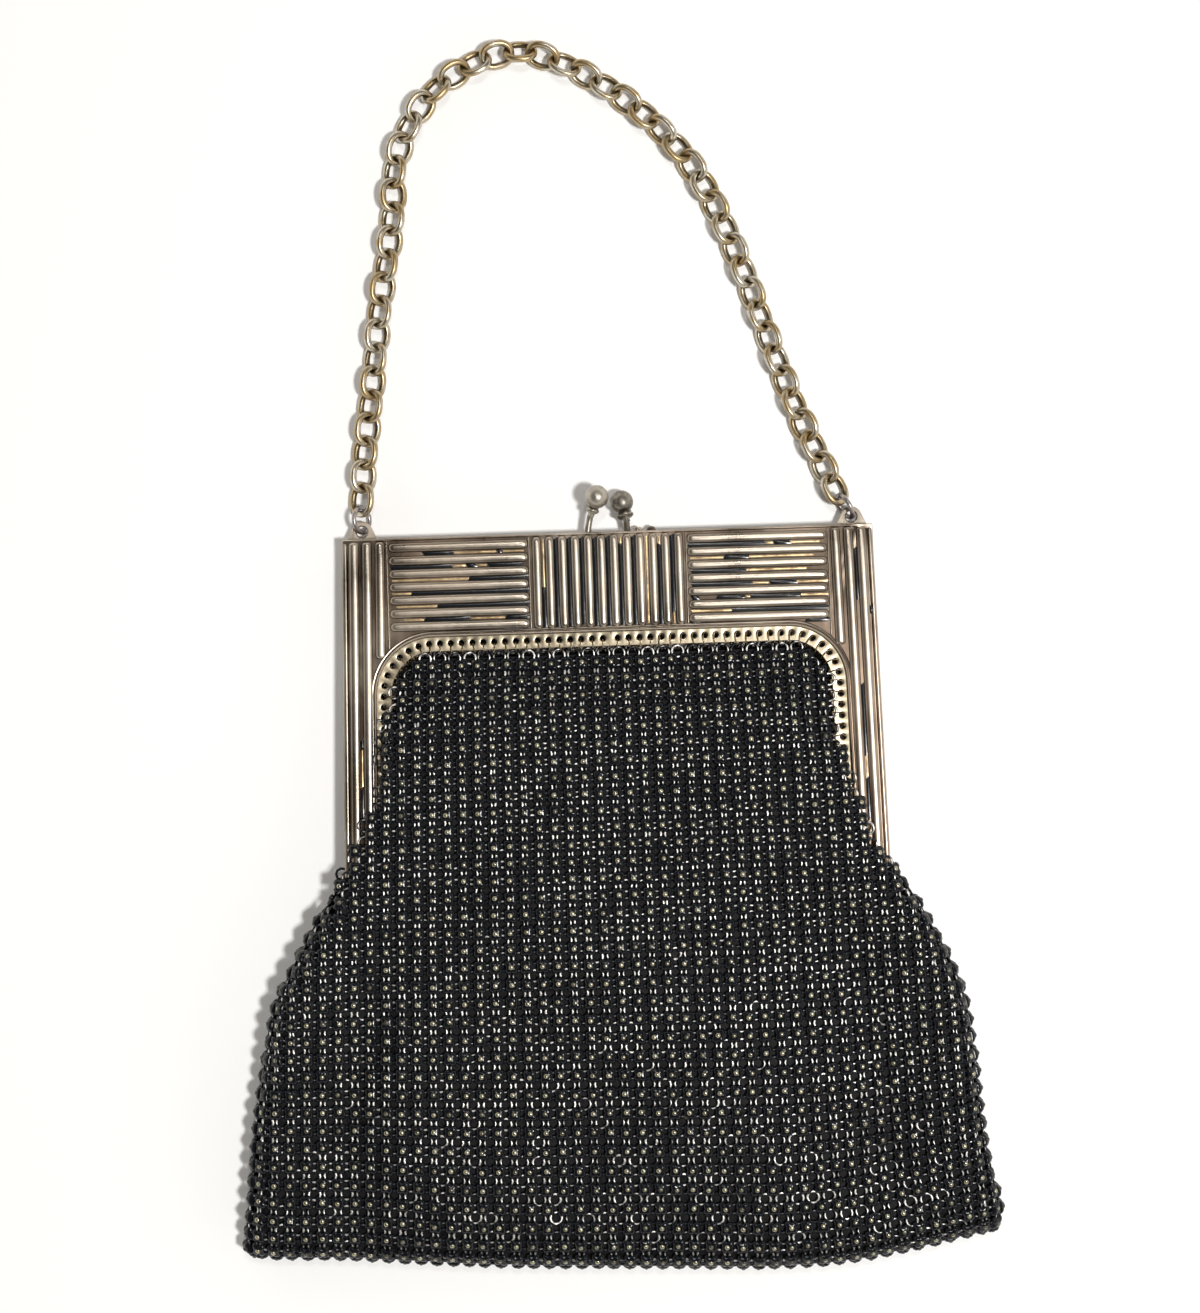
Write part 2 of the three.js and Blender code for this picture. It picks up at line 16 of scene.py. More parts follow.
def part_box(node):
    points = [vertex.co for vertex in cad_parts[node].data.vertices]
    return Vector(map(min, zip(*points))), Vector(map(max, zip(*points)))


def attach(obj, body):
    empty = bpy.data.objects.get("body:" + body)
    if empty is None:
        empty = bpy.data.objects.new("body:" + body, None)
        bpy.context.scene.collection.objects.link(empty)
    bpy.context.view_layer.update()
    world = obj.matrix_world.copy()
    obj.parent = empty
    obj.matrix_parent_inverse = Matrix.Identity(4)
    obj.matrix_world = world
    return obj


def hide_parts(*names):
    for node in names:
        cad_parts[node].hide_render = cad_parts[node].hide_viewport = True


bl_info = {
    "name": "Mesh purse",
    "version": (1, 0, 0),
    "blender": (4, 5, 0),
    "location": "3D View > Sidebar > Purse",
    "description": "Dresses the packed frame, clasp, chain and bag of a metal mesh purse",
    "category": "Add Mesh",
}

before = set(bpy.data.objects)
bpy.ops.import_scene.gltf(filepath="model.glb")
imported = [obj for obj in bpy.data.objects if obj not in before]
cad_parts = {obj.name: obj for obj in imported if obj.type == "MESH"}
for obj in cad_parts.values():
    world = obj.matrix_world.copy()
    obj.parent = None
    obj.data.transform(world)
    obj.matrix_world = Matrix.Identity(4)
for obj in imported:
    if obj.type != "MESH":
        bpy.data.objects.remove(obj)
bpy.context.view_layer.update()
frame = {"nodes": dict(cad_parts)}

MM = 0.001


# Sizes and colours


def length(name, mm, about):
    """A size in metres, given in millimetres."""
    return FloatProperty(name=name, description=about, default=mm * MM, unit="LENGTH", precision=5)


def share(name, value, about):
    """A share between nothing and the whole."""
    return FloatProperty(
        name=name, description=about, default=value, min=0, max=1, subtype="FACTOR"
    )


def colour(name, value, about):
    """A colour in linear light."""
    return FloatVectorProperty(
        name=name, description=about, default=value, size=3, min=0, max=1, subtype="COLOR"
    )


class PurseFrameSizes(bpy.types.PropertyGroup):
    """Sizes of the snap frame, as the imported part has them."""

    width: length("Width", 133, "Width at the top edge")
    leg: length("Leg", 86, "Length of the legs")
    spread: length("Spread", 1.6, "How much further out each leg stands at its end")
    depth: length("Depth", 8, "Both halves together, reed to reed")
    seam: length("Seam", 4.15, "Where the front half begins")
    sheet: length("Sheet", 1.1, "Thickness of the pressed sheet")
    flange: length("Flange", 1.4, "Plain border outside the reeds")
    flange_drop: length("Flange drop", 0.6, "Border below the floor of the reeds")
    lift: length("Lift", 3, "Height of the legs' ends above the table")
    leg_width: length("Leg width", 7.1, "Flange and reeds beside the moulding")
    arch_top: length("Arch top", 23.6, "Arch below the top edge")
    arch_radius: length("Arch radius", 15.5, "Radius of the arch's corners")
    moulding: length("Moulding", 1.5, "Width of the double moulding")
    moulding_rise: length("Moulding rise", 0.55, "Height of the moulding")
    rim: length("Rim", 3.4, "Width of the pierced rim")
    rim_thick: length("Rim thickness", 0.6, "Thickness of the rim")
    rim_drop: length("Rim drop", 0.5, "Rim below the floor of the reeds")
    hole: length("Hole", 1.5, "Holes in the rim")
    hole_pitch: length("Hole pitch", 2.72, "From hole to hole")
    reed_height: length("Reed height", 0.9, "Height of the reeds")
    reed_share: share("Reed share", 0.72, "Width of a reed as a share of its pitch")
    side_pitch: length("Side pitch", 3.25, "From reed to reed on the side bars")
    centre_panel: length("Centre panel", 38.8, "Width of the middle panel")
    lip: length("Lip", 1, "Plain lip along the top")
    panel_seam: length("Panel seam", 0.5, "Between neighbouring panels")
    hinge_radius: length("Hinge radius", 2.8, "Radius of the knuckles")
    hinge_up: length("Hinge up", 2.6, "Pin above the end of the leg")
    hinge_leaf: length("Hinge leaf", 2.2, "Width of a knuckle")
    lacing_wire: length("Lacing wire", 0.36, "Thickness of the wire that laces the mesh to the rim")


class PurseHandleSizes(bpy.types.PropertyGroup):
    """Sizes of the clasp, ears, rings and chain."""

    ball: length("Ball", 2.95, "Radius of the clasp's balls")
    collar: length("Collar", 1.5, "Radius of the collar under a ball")
    stem: length("Stem", 0.8, "Radius of the stems")
    ear_inset: length("Ear inset", 4.9, "Hole inside the end of the frame")
    ear_up: length("Ear up", 2.2, "Hole above the top edge")
    ear_radius: length("Ear radius", 2.6, "Outer radius of the ears")
    ear_base: length("Ear base", 8.4, "Width of the ears at the frame")
    ear_thick: length("Ear thickness", 0.9, "Thickness of the ears")
    ear_hole: length("Ear hole", 2.8, "Diameter of the ears' holes")
    ring_radius: length("Ring radius", 3.15, "Mean radius of the jump rings")
    ring_wire: length("Ring wire", 1.2, "Wire of the jump rings")
    link_pitch: length("Link pitch", 5.9, "From link to link")
    link_width: length("Link width", 7.5, "Width of a link")
    link_wire: length("Link wire", 1.75, "Wire of the links")
    link_bite: length("Link bite", 0.24, "How far links are worn into each other")


class PurseMeshSizes(bpy.types.PropertyGroup):
    """Sizes of the bag and of its mesh."""

    length: length("Length", 147.7, "Mouth to the corners of the bottom fold")
    half_width: length("Half width", 95.3, "Half of the bag's greatest width")
    depth: length("Depth", 13.6, "Front to back")
    sag: length("Sag", 7.6, "How much lower the bottom fold hangs in the middle")
    edge: length("Edge", 5.5, "Roundness of the side folds")
    fold: length("Fold", 1.5, "Depth of the soft folds")
    fold_radius: length("Fold radius", 3, "Radius of the bottom fold")
    skin: length("Skin", 1.3, "From the feet of the plates to the bag's outside")
    # The closed inner face is a sheet of painted shade for the bag's dark inside
    shade_sheet: length("Backing", 0.55, "From the feet of the plates to the closed inner face")
    pitch_top: length("Pitch at the top", 3.72, "Plate to plate across, at the mouth")
    pitch_low: length("Pitch at the bottom", 4.05, "Plate to plate across, at the bottom")
    row_top: length("Row at the top", 4.2, "Row to row at the mouth")
    row_low: length("Row at the bottom", 4.5, "Row to row at the bottom")
    ring_radius: length("Ring radius", 1.47, "Mean radius of the mesh's rings")
    ring_wire: length("Ring wire", 0.6, "Wire of the mesh's rings")
    seed: IntProperty(name="Seed", description="Seed of the mesh's irregularities", default=11)


class PurseColours(bpy.types.PropertyGroup):
    """Colours of the metals and the enamel."""

    silver: colour("Silver", (0.475, 0.418, 0.345), "Rubbed silver plate")
    tarnish: colour("Tarnish", (0.105, 0.08, 0.06), "Brown tint in the recesses")
    champagne: colour("Champagne", (0.44, 0.375, 0.26), "Gilt of the pierced rim")
    gold: colour("Gold", (0.72, 0.55, 0.30), "Bare brass in worn grooves")
    enamel: colour("Enamel", (0.006, 0.0068, 0.0092), "Black enamel")
    worn: colour("Worn centre", (0.36, 0.34, 0.245), "Rubbed centre of a plate")
    brass: colour("Brass", (0.40, 0.30, 0.165), "Aged brass of the chain")
    chain_silver: colour("Chain silver", (0.52, 0.475, 0.385), "Remains of the chain's plating")
    steel: colour("Steel", (0.25, 0.225, 0.225), "Darkened steel of the rings")
    table: colour("Table", (0.97, 0.97, 0.97), "Pale table")


class PurseSettings(bpy.types.PropertyGroup):
    """All settings of the purse."""

    frame: PointerProperty(type=PurseFrameSizes)
    handle: PointerProperty(type=PurseHandleSizes)
    mesh: PointerProperty(type=PurseMeshSizes)
    colours: PointerProperty(type=PurseColours)


# Rows of the bag from the mouth down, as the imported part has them. Shares of: length, half width
# left and right, depth for the front and for the lift of the back, sag, fold
BAG_ROWS = np.array(
    [
        # down, left, right, front, lift, sag, fold
        (-0.04, 0.61, 0.61, 0.66, 0.04, 0, 0),
        (0.04, 0.615, 0.615, 0.74, 0.02, 0, 0),
        (0.12, 0.625, 0.625, 0.88, 0, 0, 0),
        (0.24, 0.665, 0.662, 0.92, 0, 0, 0),
        (0.33, 0.705, 0.705, 0.97, 0, 0.02, 0),
        (0.42, 0.782, 0.775, 1, 0, 0.05, 0.3),
        (0.51, 0.86, 0.85, 1, 0, 0.1, 0.8),
        (0.58, 0.918, 0.897, 0.98, 0, 0.2, 1),
        (0.68, 0.952, 0.925, 0.96, 0, 0.35, 1),
        (0.8, 0.984, 0.942, 0.92, 0, 0.6, 1),
        (0.9, 1.002, 0.965, 0.84, 0, 0.85, 0.8),
        (0.965, 1.014, 0.985, 0.72, 0, 1, 0.4),
        (0.993, 1.01, 0.98, 0.55, 0.06, 1, 0),
        (1, 0.995, 0.965, 0.42, 0.16, 1, 0),
    ]
)
# Places across the front, as shares of the half width, and the fold's depth there
FOLD_PLACES = ((0, 0.35, 0.66, 0.78, 0.87, 0.96), (0, 0, 0.2, 1, 0.35, 0))

# Middle of the handle chain, in millimetres from the middle of the frame's top edge
CHAIN_ROUTE = (
    (-60.3, 22),
    (-57.6, 41),
    (-55.2, 60),
    (-51.6, 80),
    (-50, 96.5),
    (-42.4, 110.6),
    (-32.6, 118.2),
    (-18.6, 122.4),
    (-8.2, 119.2),
    (4.6, 111.8),
    (14.2, 104),
    (23.2, 93.8),
    (29.4, 82.8),
    (36.4, 65.6),
    (42.4, 47.8),
    (49.4, 28.4),
    (54.8, 16),
)
# Jump rings: which way they lie from their ears and how far they tilt, in degrees
RING_AIMS = {"left": 91, "right": 120}
RING_TILTS = {"left": 32, "right": 16}
# Every second link is rolled one way and the others the other way, in degrees
LINK_ROLL = 35
# Millimetres that keep the corners of the rolled links off the table
CHAIN_LIFT = 0.38

# Reeds on a side bar, in a side panel and in the middle panel, and the length in millimetres of a
# bar's inmost reed, which ends where the moulding comes up beside it
SIDE_REEDS, PANEL_REEDS, MIDDLE_REEDS = 3, 7, 12
INMOST_REED = 29.4

# What is left in the grooves between the reeds: from, to, as shares of the groove. The grooves
# of a side panel count from the top, those of the middle panel from the left.
BLACK, GOLD = 1, 2
LEFT_PANEL = {
    1: ((0.245, 0.467, BLACK), (0.467, 0.77, GOLD), (0.78, 0.81, BLACK), (0.82, 0.97, GOLD)),
    2: (
        (0.01, 0.45, BLACK),
        (0.46, 0.55, GOLD),
        (0.557, 0.626, BLACK),
        (0.63, 0.7, GOLD),
        (0.71, 0.967, BLACK),
    ),
    3: ((0.02, 0.57, GOLD), (0.57, 1, BLACK)),
    4: ((0.02, 0.155, GOLD), (0.155, 1, BLACK)),
    5: ((0.05, 0.34, GOLD), (0.34, 1, BLACK)),
    6: ((0.1, 0.24, GOLD), (0.245, 0.57, BLACK), (0.577, 0.82, GOLD), (0.827, 1, BLACK)),
    7: ((0.62, 1, BLACK),),
}
RIGHT_PANEL = {
    1: ((0, 0.56, BLACK), (0.565, 0.615, GOLD), (0.62, 0.74, BLACK), (0.745, 0.95, GOLD)),
    2: ((0.02, 0.26, GOLD), (0.26, 0.44, BLACK), (0.44, 0.9, GOLD)),
    3: ((0.02, 0.42, BLACK), (0.42, 0.85, GOLD)),
    4: ((0.02, 0.46, BLACK), (0.465, 0.576, GOLD), (0.583, 0.776, BLACK), (0.776, 1, GOLD)),
    5: (
        (0.02, 0.077, BLACK),
        (0.2, 0.405, BLACK),
        (0.405, 0.44, GOLD),
        (0.44, 0.803, BLACK),
        (0.803, 1, GOLD),
    ),
    6: ((0.02, 0.305, GOLD), (0.305, 1, BLACK)),
    7: ((0, 0.12, BLACK), (0.83, 1, BLACK)),
}
MIDDLE_PANEL = {
    1: ((0.03, 0.55, GOLD), (0.55, 1, BLACK)),
    2: ((0.02, 1, BLACK),),
    3: ((0.02, 1, BLACK),),
    4: ((0.02, 0.96, BLACK),),
    5: ((0.03, 1, BLACK),),
    6: ((0.02, 1, BLACK),),
    7: ((0.03, 0.1, GOLD), (0.1, 1, BLACK)),
    8: ((0.02, 1, BLACK),),
    9: ((0.03, 0.97, GOLD),),
    10: ((0.03, 0.12, GOLD), (0.12, 1, BLACK)),
    11: ((0.02, 0.86, BLACK), (0.86, 1, GOLD)),
}
# Patches in the grooves of the side bars: bar, groove from outside, from, to in millimetres down
BAR_PATCHES = (
    (1, 1, 5.9, 18.9, BLACK),
    (1, 0, 20.4, 22.4, BLACK),
    (1, 1, 40, 58, BLACK),
    (1, 1, 58.5, 63, GOLD),
    (1, 1, 63.5, 74, BLACK),
    (-1, 1, 50.2, 52.6, BLACK),
    (-1, 1, 52.8, 62, GOLD),
    (-1, 1, 62.4, 70, BLACK),
)


# Where things are

frame_low, frame_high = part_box("frame_front")


def settings():
    return bpy.context.scene.purse


def tilt():
    """How far the frame leans back, its legs lifted by the bag."""
    sizes = settings().frame
    return math.atan2(sizes.lift, sizes.leg)


def reed_floor():
    """Height of the floor between the reeds, in the frame's axes."""
    sizes = settings().frame
    return sizes.depth - sizes.reed_height


def rim_height():
    """Height of the pierced rim's top, in the frame's axes."""
    return reed_floor() - settings().frame.rim_drop


def purse_origin():
    """The middle of the frame's top edge, on the table."""
    middle = (frame_low.x + frame_high.x) / 2
    return Vector((middle, frame_high.y - reed_floor() * math.sin(tilt()), 0))


def on_frame():
    """From the frame's own axes to the table's."""
    return Matrix.Translation(purse_origin()) @ Matrix.Rotation(-tilt(), 4, "X")


def on_table():
    """From the middle of the frame's top edge to the table's axes."""
    return Matrix.Translation(purse_origin())


def turned_over():
    """Turns the front half of the frame into the back half."""
    depth = settings().frame.depth
    return Matrix(((-1, 0, 0, 0), (0, 1, 0, 0), (0, 0, -1, depth), (0, 0, 0, 1)))


# Mesh pieces


def grid(rows, columns, round_rows=False, round_columns=False):
    """Faces over a grid of points that runs row by row."""
    faces = []
    for row in range(rows if round_rows else rows - 1):
        next_row = (row + 1) % rows
        for column in range(columns if round_columns else columns - 1):
            next_column = (column + 1) % columns
            faces.append(
                (
                    row * columns + column,
                    row * columns + next_column,
                    next_row * columns + next_column,
                    next_row * columns + column,
                )
            )
    return faces


class Piece:
    """Gathers the points and faces of one piece, with a wear value at each point."""

    def __init__(self):
        self.points = []
        self.wear = []
        self.faces = []
        self.slots = []
        self.count = 0

    def add(self, points, faces, wear=0.0, slot=0):
        points = np.asarray(points, float).reshape(-1, 3)
        self.points.append(points)
        self.wear.append(np.broadcast_to(np.asarray(wear, float), (len(points),)))
        self.faces.extend(tuple(corner + self.count for corner in face) for face in faces)
        self.slots.extend([slot] * len(faces))
        self.count += len(points)

    def add_copies(self, unit, faces, places, axes, wear=None, unit_wear=0.0, slot=0):
        """Copies of one small form, each with its own place, its own three axes and its wear."""
        copies = len(places)
        if not copies:
            raise RuntimeError("a pattern came out empty")
        points = places[:, None, :] + np.einsum("pk,mkj->mpj", unit, axes)
        values = np.zeros(copies) if wear is None else wear
        self.points.append(points.reshape(-1, 3))
        on_unit = np.broadcast_to(np.asarray(unit_wear, float), (len(unit),))
        self.wear.append((values[:, None] + on_unit[None, :]).reshape(-1))
        starts = self.count + np.arange(copies) * len(unit)
        for face in faces:
            self.faces.extend((starts[:, None] + np.array(face)[None, :]).tolist())
        self.slots.extend([slot] * (copies * len(faces)))
        self.count += copies * len(unit)

    def turned(self, matrix):
        """The same piece with its points moved by a matrix."""
        copy = Piece()
        turn = np.array(matrix)
        copy.points = [np.concatenate(self.points) @ turn[:3, :3].T + turn[:3, 3]]
        copy.wear = [np.concatenate(self.wear)]
        copy.faces, copy.slots, copy.count = list(self.faces), list(self.slots), self.count
        return copy

    def make(self, name, materials, slot, replaces=(), matrix=None, sharp=40, weld=False):
        """Makes the Blender object, riding on the purse."""
        points = np.concatenate(self.points)
        if matrix is not None:
            turn = np.array(matrix)
            points = points @ turn[:3, :3].T + turn[:3, 3]
        mesh = bpy.data.meshes.new(name)
        mesh.from_pydata(points.tolist(), [], self.faces)
        mesh.polygons.foreach_set("material_index", self.slots)
        mesh.polygons.foreach_set("use_smooth", [True] * len(self.faces))
        wear = mesh.attributes.new("wear", "FLOAT", "POINT")
        wear.data.foreach_set("value", np.concatenate(self.wear))
        if weld:
            body = bmesh.new()
            body.from_mesh(mesh)
            bmesh.ops.remove_doubles(body, verts=body.verts, dist=0.004 * MM)
            bmesh.ops.recalc_face_normals(body, faces=body.faces)
            body.to_mesh(mesh)
            body.free()
        if sharp:
            mesh.set_sharp_from_angle(angle=math.radians(sharp))
        mesh.update()
        for material in materials:
            mesh.materials.append(material)
        piece = bpy.data.objects.new(name, mesh)
        bpy.context.scene.collection.objects.link(piece)
        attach(piece, "root")
        if replaces:
            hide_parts(*replaces)
        return piece


def revolved(profile, sides):
    """A form turned about Z from a profile of radius and height."""
    turns = np.arange(sides) * 2 * math.pi / sides
    profile = np.asarray(profile, float)
    points = np.stack(
        [
            np.outer(profile[:, 0], np.cos(turns)),
            np.outer(profile[:, 0], np.sin(turns)),
            np.repeat(profile[:, 1:2], sides, axis=1),
        ],
        axis=-1,
    )
    return points.reshape(-1, 3), grid(len(profile), sides, round_columns=True)


def tube(path, radius, sides, closed=False):
    """A round tube along a path of points."""
    path = np.asarray(path, float)
    if closed:
        ahead = np.roll(path, -1, axis=0) - np.roll(path, 1, axis=0)
    else:
        ahead = np.gradient(path, axis=0)
    ahead /= np.linalg.norm(ahead, axis=1, keepdims=True)
    across = np.cross(ahead[0], (0.13, 0.21, 1.0))
    rows = []
    turns = np.arange(sides) * 2 * math.pi / sides
    radii = np.broadcast_to(radius, (len(path),))
    for point, way, size in zip(path, ahead, radii):
        across = across - way * (across @ way)
        across /= np.linalg.norm(across)
        up = np.cross(way, across)
        rows.append(point + size * (np.outer(np.cos(turns), across) + np.outer(np.sin(turns), up)))
    return np.concatenate(rows), grid(len(path), sides, round_rows=closed, round_columns=True)


def axes_along(aim, up=(0, 0, 1)):
    """Three axes whose last one points along aim."""
    aim = np.asarray(aim, float) / np.linalg.norm(aim)
    side = np.cross(up, aim)
    if np.linalg.norm(side) < 1e-6:
        side = np.array((1.0, 0, 0))
    side /= np.linalg.norm(side)
    return np.stack([side, np.cross(aim, side), aim])


def smooth(value):
    """Eases from 0 to 1, and stays there outside."""
    value = np.clip(value, 0, 1)
    return value * value * (3 - 2 * value)


def cubic(first, second, leave, arrive, t):
    """A curve from first to second at shares t, with its slopes at both ends."""
    return (
        first * (2 * t**3 - 3 * t**2 + 1)
        + leave * (t**3 - 2 * t**2 + t)
        + second * (3 * t**2 - 2 * t**3)
        + arrive * (t**3 - t**2)
    )


# Materials


class Nodes:
    """A material with short calls for its nodes."""

    def __init__(self, name, metallic=0.0, roughness=0.5):
        self.material = bpy.data.materials.new(name)
        self.material.use_nodes = True
        self.tree = self.material.node_tree
        self.shader = self.tree.nodes["Principled BSDF"]
        self.shader.inputs["Metallic"].default_value = metallic
        self.shader.inputs["Roughness"].default_value = roughness

    def feed(self, socket, value):
        """Links a value to a socket, or sets it there."""
        if isinstance(value, bpy.types.NodeSocket):
            self.tree.links.new(value, socket)
        else:
            socket.default_value = value

    def node(self, kind, inputs=None, **values):
        made = self.tree.nodes.new(kind)
        for key, value in values.items():
            setattr(made, key, value)
        for key, value in (inputs or {}).items():
            self.feed(made.inputs[key], value)
        return made

    def place(self):
        return self.node("ShaderNodeTexCoord").outputs["Object"]

    def wear(self):
        return self.node("ShaderNodeAttribute", attribute_name="wear").outputs["Fac"]

    def noise(self, scale, detail=3.0, roughness=0.5, stretch=None):
        where = self.place()
        if stretch:
            mapping = self.node("ShaderNodeMapping", {"Vector": where, "Scale": stretch})
            where = mapping.outputs["Vector"]
        values = {"Vector": where, "Scale": scale, "Detail": detail, "Roughness": roughness}
        return self.node("ShaderNodeTexNoise", values).outputs["Fac"]

    def band(self, value, low, high, to_low=0.0, to_high=1.0):
        """Takes what lies from low to high to another band, and holds it there outside."""
        ends = {"From Min": low, "From Max": high, "To Min": to_low, "To Max": to_high}
        return self.node("ShaderNodeMapRange", {"Value": value, **ends}).outputs["Result"]

    def sum(self, first, second):
        made = self.node("ShaderNodeMath", operation="ADD", use_clamp=True)
        for socket, value in zip(made.inputs, (first, second)):
            self.feed(socket, value)
        return made.outputs["Value"]

    def rubbed(self, clouds, low, high):
        """The piece's own wear, less or more of it in clouds."""
        return self.sum(self.wear(), self.band(clouds, 0.3, 0.7, low, high))

    def mix(self, factor, first, second):
        made = self.node("ShaderNodeMix", data_type="RGBA")
        self.feed(made.inputs["Factor"], factor)
        for name, value in (("A", first), ("B", second)):
            socket = [s for s in made.inputs if s.name == name and s.type == "RGBA"][0]
            self.feed(socket, value if isinstance(value, bpy.types.NodeSocket) else (*value, 1))
        return [s for s in made.outputs if s.type == "RGBA"][0]

    def colour(self, socket):
        self.tree.links.new(socket, self.shader.inputs["Base Color"])

    def roughness(self, socket):
        self.tree.links.new(socket, self.shader.inputs["Roughness"])

    def bump(self, height, depth, strength=1.0):
        values = {"Height": height, "Distance": depth, "Strength": strength}
        made = self.node("ShaderNodeBump", values)
        self.tree.links.new(made.outputs["Normal"], self.shader.inputs["Normal"])


def material(name, build):
    """The material of that name, built the first time that a piece asks for it."""
    return bpy.data.materials.get(name) or build(name).material


def silver_plate(name):
    """Silver plate, rubbed on the heights and brown in the recesses."""
    colours = settings().colours
    made = Nodes(name, metallic=1.0)
    cloudy = made.noise(45, detail=4, roughness=0.58)
    streaks = made.noise(900, detail=2, stretch=(1, 0.06, 1))
    rubbed = made.rubbed(cloudy, -0.36, 0.22)
    base = made.mix(made.band(rubbed, 0.15, 0.85), colours.tarnish, colours.silver)
    warm = made.mix(made.band(made.noise(21, detail=2), 0.5, 0.7, 0, 0.3), base, (0.40, 0.28, 0.20))
    made.colour(made.mix(made.band(made.wear(), 1.05, 1.6), warm, colours.champagne))
    uneven = made.sum(cloudy, made.band(streaks, 0.3, 0.8, -0.1, 0.15))
    made.roughness(made.band(uneven, 0.3, 0.75, 0.26, 0.42))
    made.bump(made.noise(700, detail=4, roughness=0.65), 0.03 * MM, 0.6)
    return made


def groove_enamel(name):
    """Black enamel, chipped here and there."""
    made = Nodes(name, metallic=0.0, roughness=0.22)
    chips = made.band(made.noise(420, detail=4, roughness=0.7), 0.68, 0.72)
    made.colour(made.mix(chips, settings().colours.enamel, (0.16, 0.12, 0.08)))
    made.bump(made.noise(650), 0.05 * MM, 0.5)
    return made


def bare_gold(name):
    """Bare brass at the bottom of a worn groove."""
    colours = settings().colours
    made = Nodes(name, metallic=1.0)
    patchy = made.noise(260, detail=4, roughness=0.65)
    made.colour(made.mix(made.band(patchy, 0.38, 0.62), (0.30, 0.21, 0.12), colours.gold))
    made.roughness(made.band(patchy, 0.3, 0.7, 0.5, 0.3))
    made.bump(made.noise(900), 0.03 * MM, 0.5)
    return made


def aged_brass(name):
    """Brass with remains of silver plate, olive in the recesses."""
    colours = settings().colours
    made = Nodes(name, metallic=1.0)
    patchy = made.noise(170, detail=5, roughness=0.62)
    plated = made.mix(made.band(patchy, 0.45, 0.6), colours.brass, colours.chain_silver)
    rubbed = made.rubbed(made.noise(420), -0.2, 0.2)
    made.colour(made.mix(made.band(rubbed, 0.1, 0.6), (0.085, 0.062, 0.032), plated))
    made.roughness(made.band(patchy, 0.3, 0.7, 0.42, 0.28))
    made.bump(made.noise(1100, detail=4, roughness=0.7), 0.05 * MM, 0.8)
    return made


def clasp_steel(name):
    """Greyed plate of the clasp's balls, mottled by handling."""
    made = Nodes(name, metallic=1.0)
    mottled = made.noise(620, detail=4, roughness=0.62)
    lightness = made.band(made.rubbed(mottled, -0.3, 0.3), 0.0, 1.2)
    made.colour(made.mix(lightness, (0.15, 0.135, 0.115), (0.50, 0.46, 0.40)))
    made.roughness(made.band(mottled, 0.3, 0.7, 0.5, 0.34))
    made.bump(made.noise(800), 0.03 * MM, 0.6)
    return made


def dark_steel(name):
    """Darkened steel wire."""
    made = Nodes(name, metallic=1.0)
    patchy = made.noise(300, detail=4)
    clean = (0.42, 0.385, 0.37)
    made.colour(made.mix(made.band(patchy, 0.35, 0.7), settings().colours.steel, clean))
    made.roughness(made.band(patchy, 0.3, 0.7, 0.26, 0.42))
    made.bump(made.noise(900), 0.03 * MM, 0.6)
    return made


def plate_enamel(name):
    """Glossy black enamel on pressed plates and rings, thin on the edges."""
    made = Nodes(name, metallic=0.0)
    made.shader.inputs["Specular IOR Level"].default_value = 0.22
    thin = made.band(made.noise(520, roughness=0.6), 0.66, 0.74)
    made.colour(made.mix(thin, settings().colours.enamel, (0.07, 0.062, 0.045)))
    made.roughness(made.band(made.noise(90), 0.3, 0.7, 0.08, 0.22))
    made.bump(made.noise(1300, detail=2), 0.03 * MM, 0.5)
    return made


def ring_wire(name):
    """Black rings, bare on the wire's top: partly rubbed metal, partly painted highlight."""
    made = Nodes(name, metallic=0.0, roughness=0.4)
    made.shader.inputs["Specular IOR Level"].default_value = 0.2
    rubbed = made.rubbed(made.noise(500), -0.2, 0.2)
    bare_and_glint = made.band(rubbed, 0.15, 0.6)
    made.colour(made.mix(bare_and_glint, settings().colours.enamel, (0.80, 0.78, 0.75)))
    made.tree.links.new(bare_and_glint, made.shader.inputs["Metallic"])
    made.bump(made.noise(1300, detail=2), 0.02 * MM, 0.4)
    return made


def worn_centre(name):
    """Raised centres rubbed to pale greenish brass, no two alike."""
    colours = settings().colours
    made = Nodes(name)
    rubbed = made.rubbed(made.noise(600), -0.25, 0.25)
    made.colour(made.mix(made.band(rubbed, 0.0, 0.45), (0.035, 0.03, 0.018), colours.worn))
    made.tree.links.new(made.band(rubbed, 0.0, 0.2, 0.0, 0.92), made.shader.inputs["Metallic"])
    made.roughness(made.band(made.noise(800), 0.3, 0.7, 0.2, 0.38))
    made.bump(made.noise(1200), 0.03 * MM, 0.6)
    return made


def painted_shade_sheet(name):
    """Near-black painted shade on the closed inner sheet, seen between plates and rings."""
    made = Nodes(name, metallic=0.0)
    made.shader.inputs["Specular IOR Level"].default_value = 0.12
    mottled = made.noise(520, detail=4, roughness=0.7)
    dark, grey = (0.002, 0.0022, 0.003), (0.014, 0.014, 0.016)
    made.colour(made.mix(made.band(mottled, 0.35, 0.65), dark, grey))
    made.roughness(made.band(mottled, 0.3, 0.7, 0.4, 0.7))
    made.bump(mottled, 0.3 * MM, 0.8)
    return made


def pale_table(name):
    """A plain pale table top."""
    made = Nodes(name, roughness=0.6)
    table = settings().colours.table
    soft = made.noise(3, detail=2)
    made.colour(made.mix(made.band(soft, 0.3, 0.7), table, tuple(value * 0.985 for value in table)))
    return made


# Frame


def spread_at(y):
    """How far out the legs stand at a height."""
    sizes = settings().frame
    return sizes.spread * np.clip(-y / sizes.leg, 0, 1)


def arch_straight():
    """Half of the arch's straight top."""
    sizes = settings().frame
    return sizes.width / 2 - sizes.leg_width - sizes.arch_radius


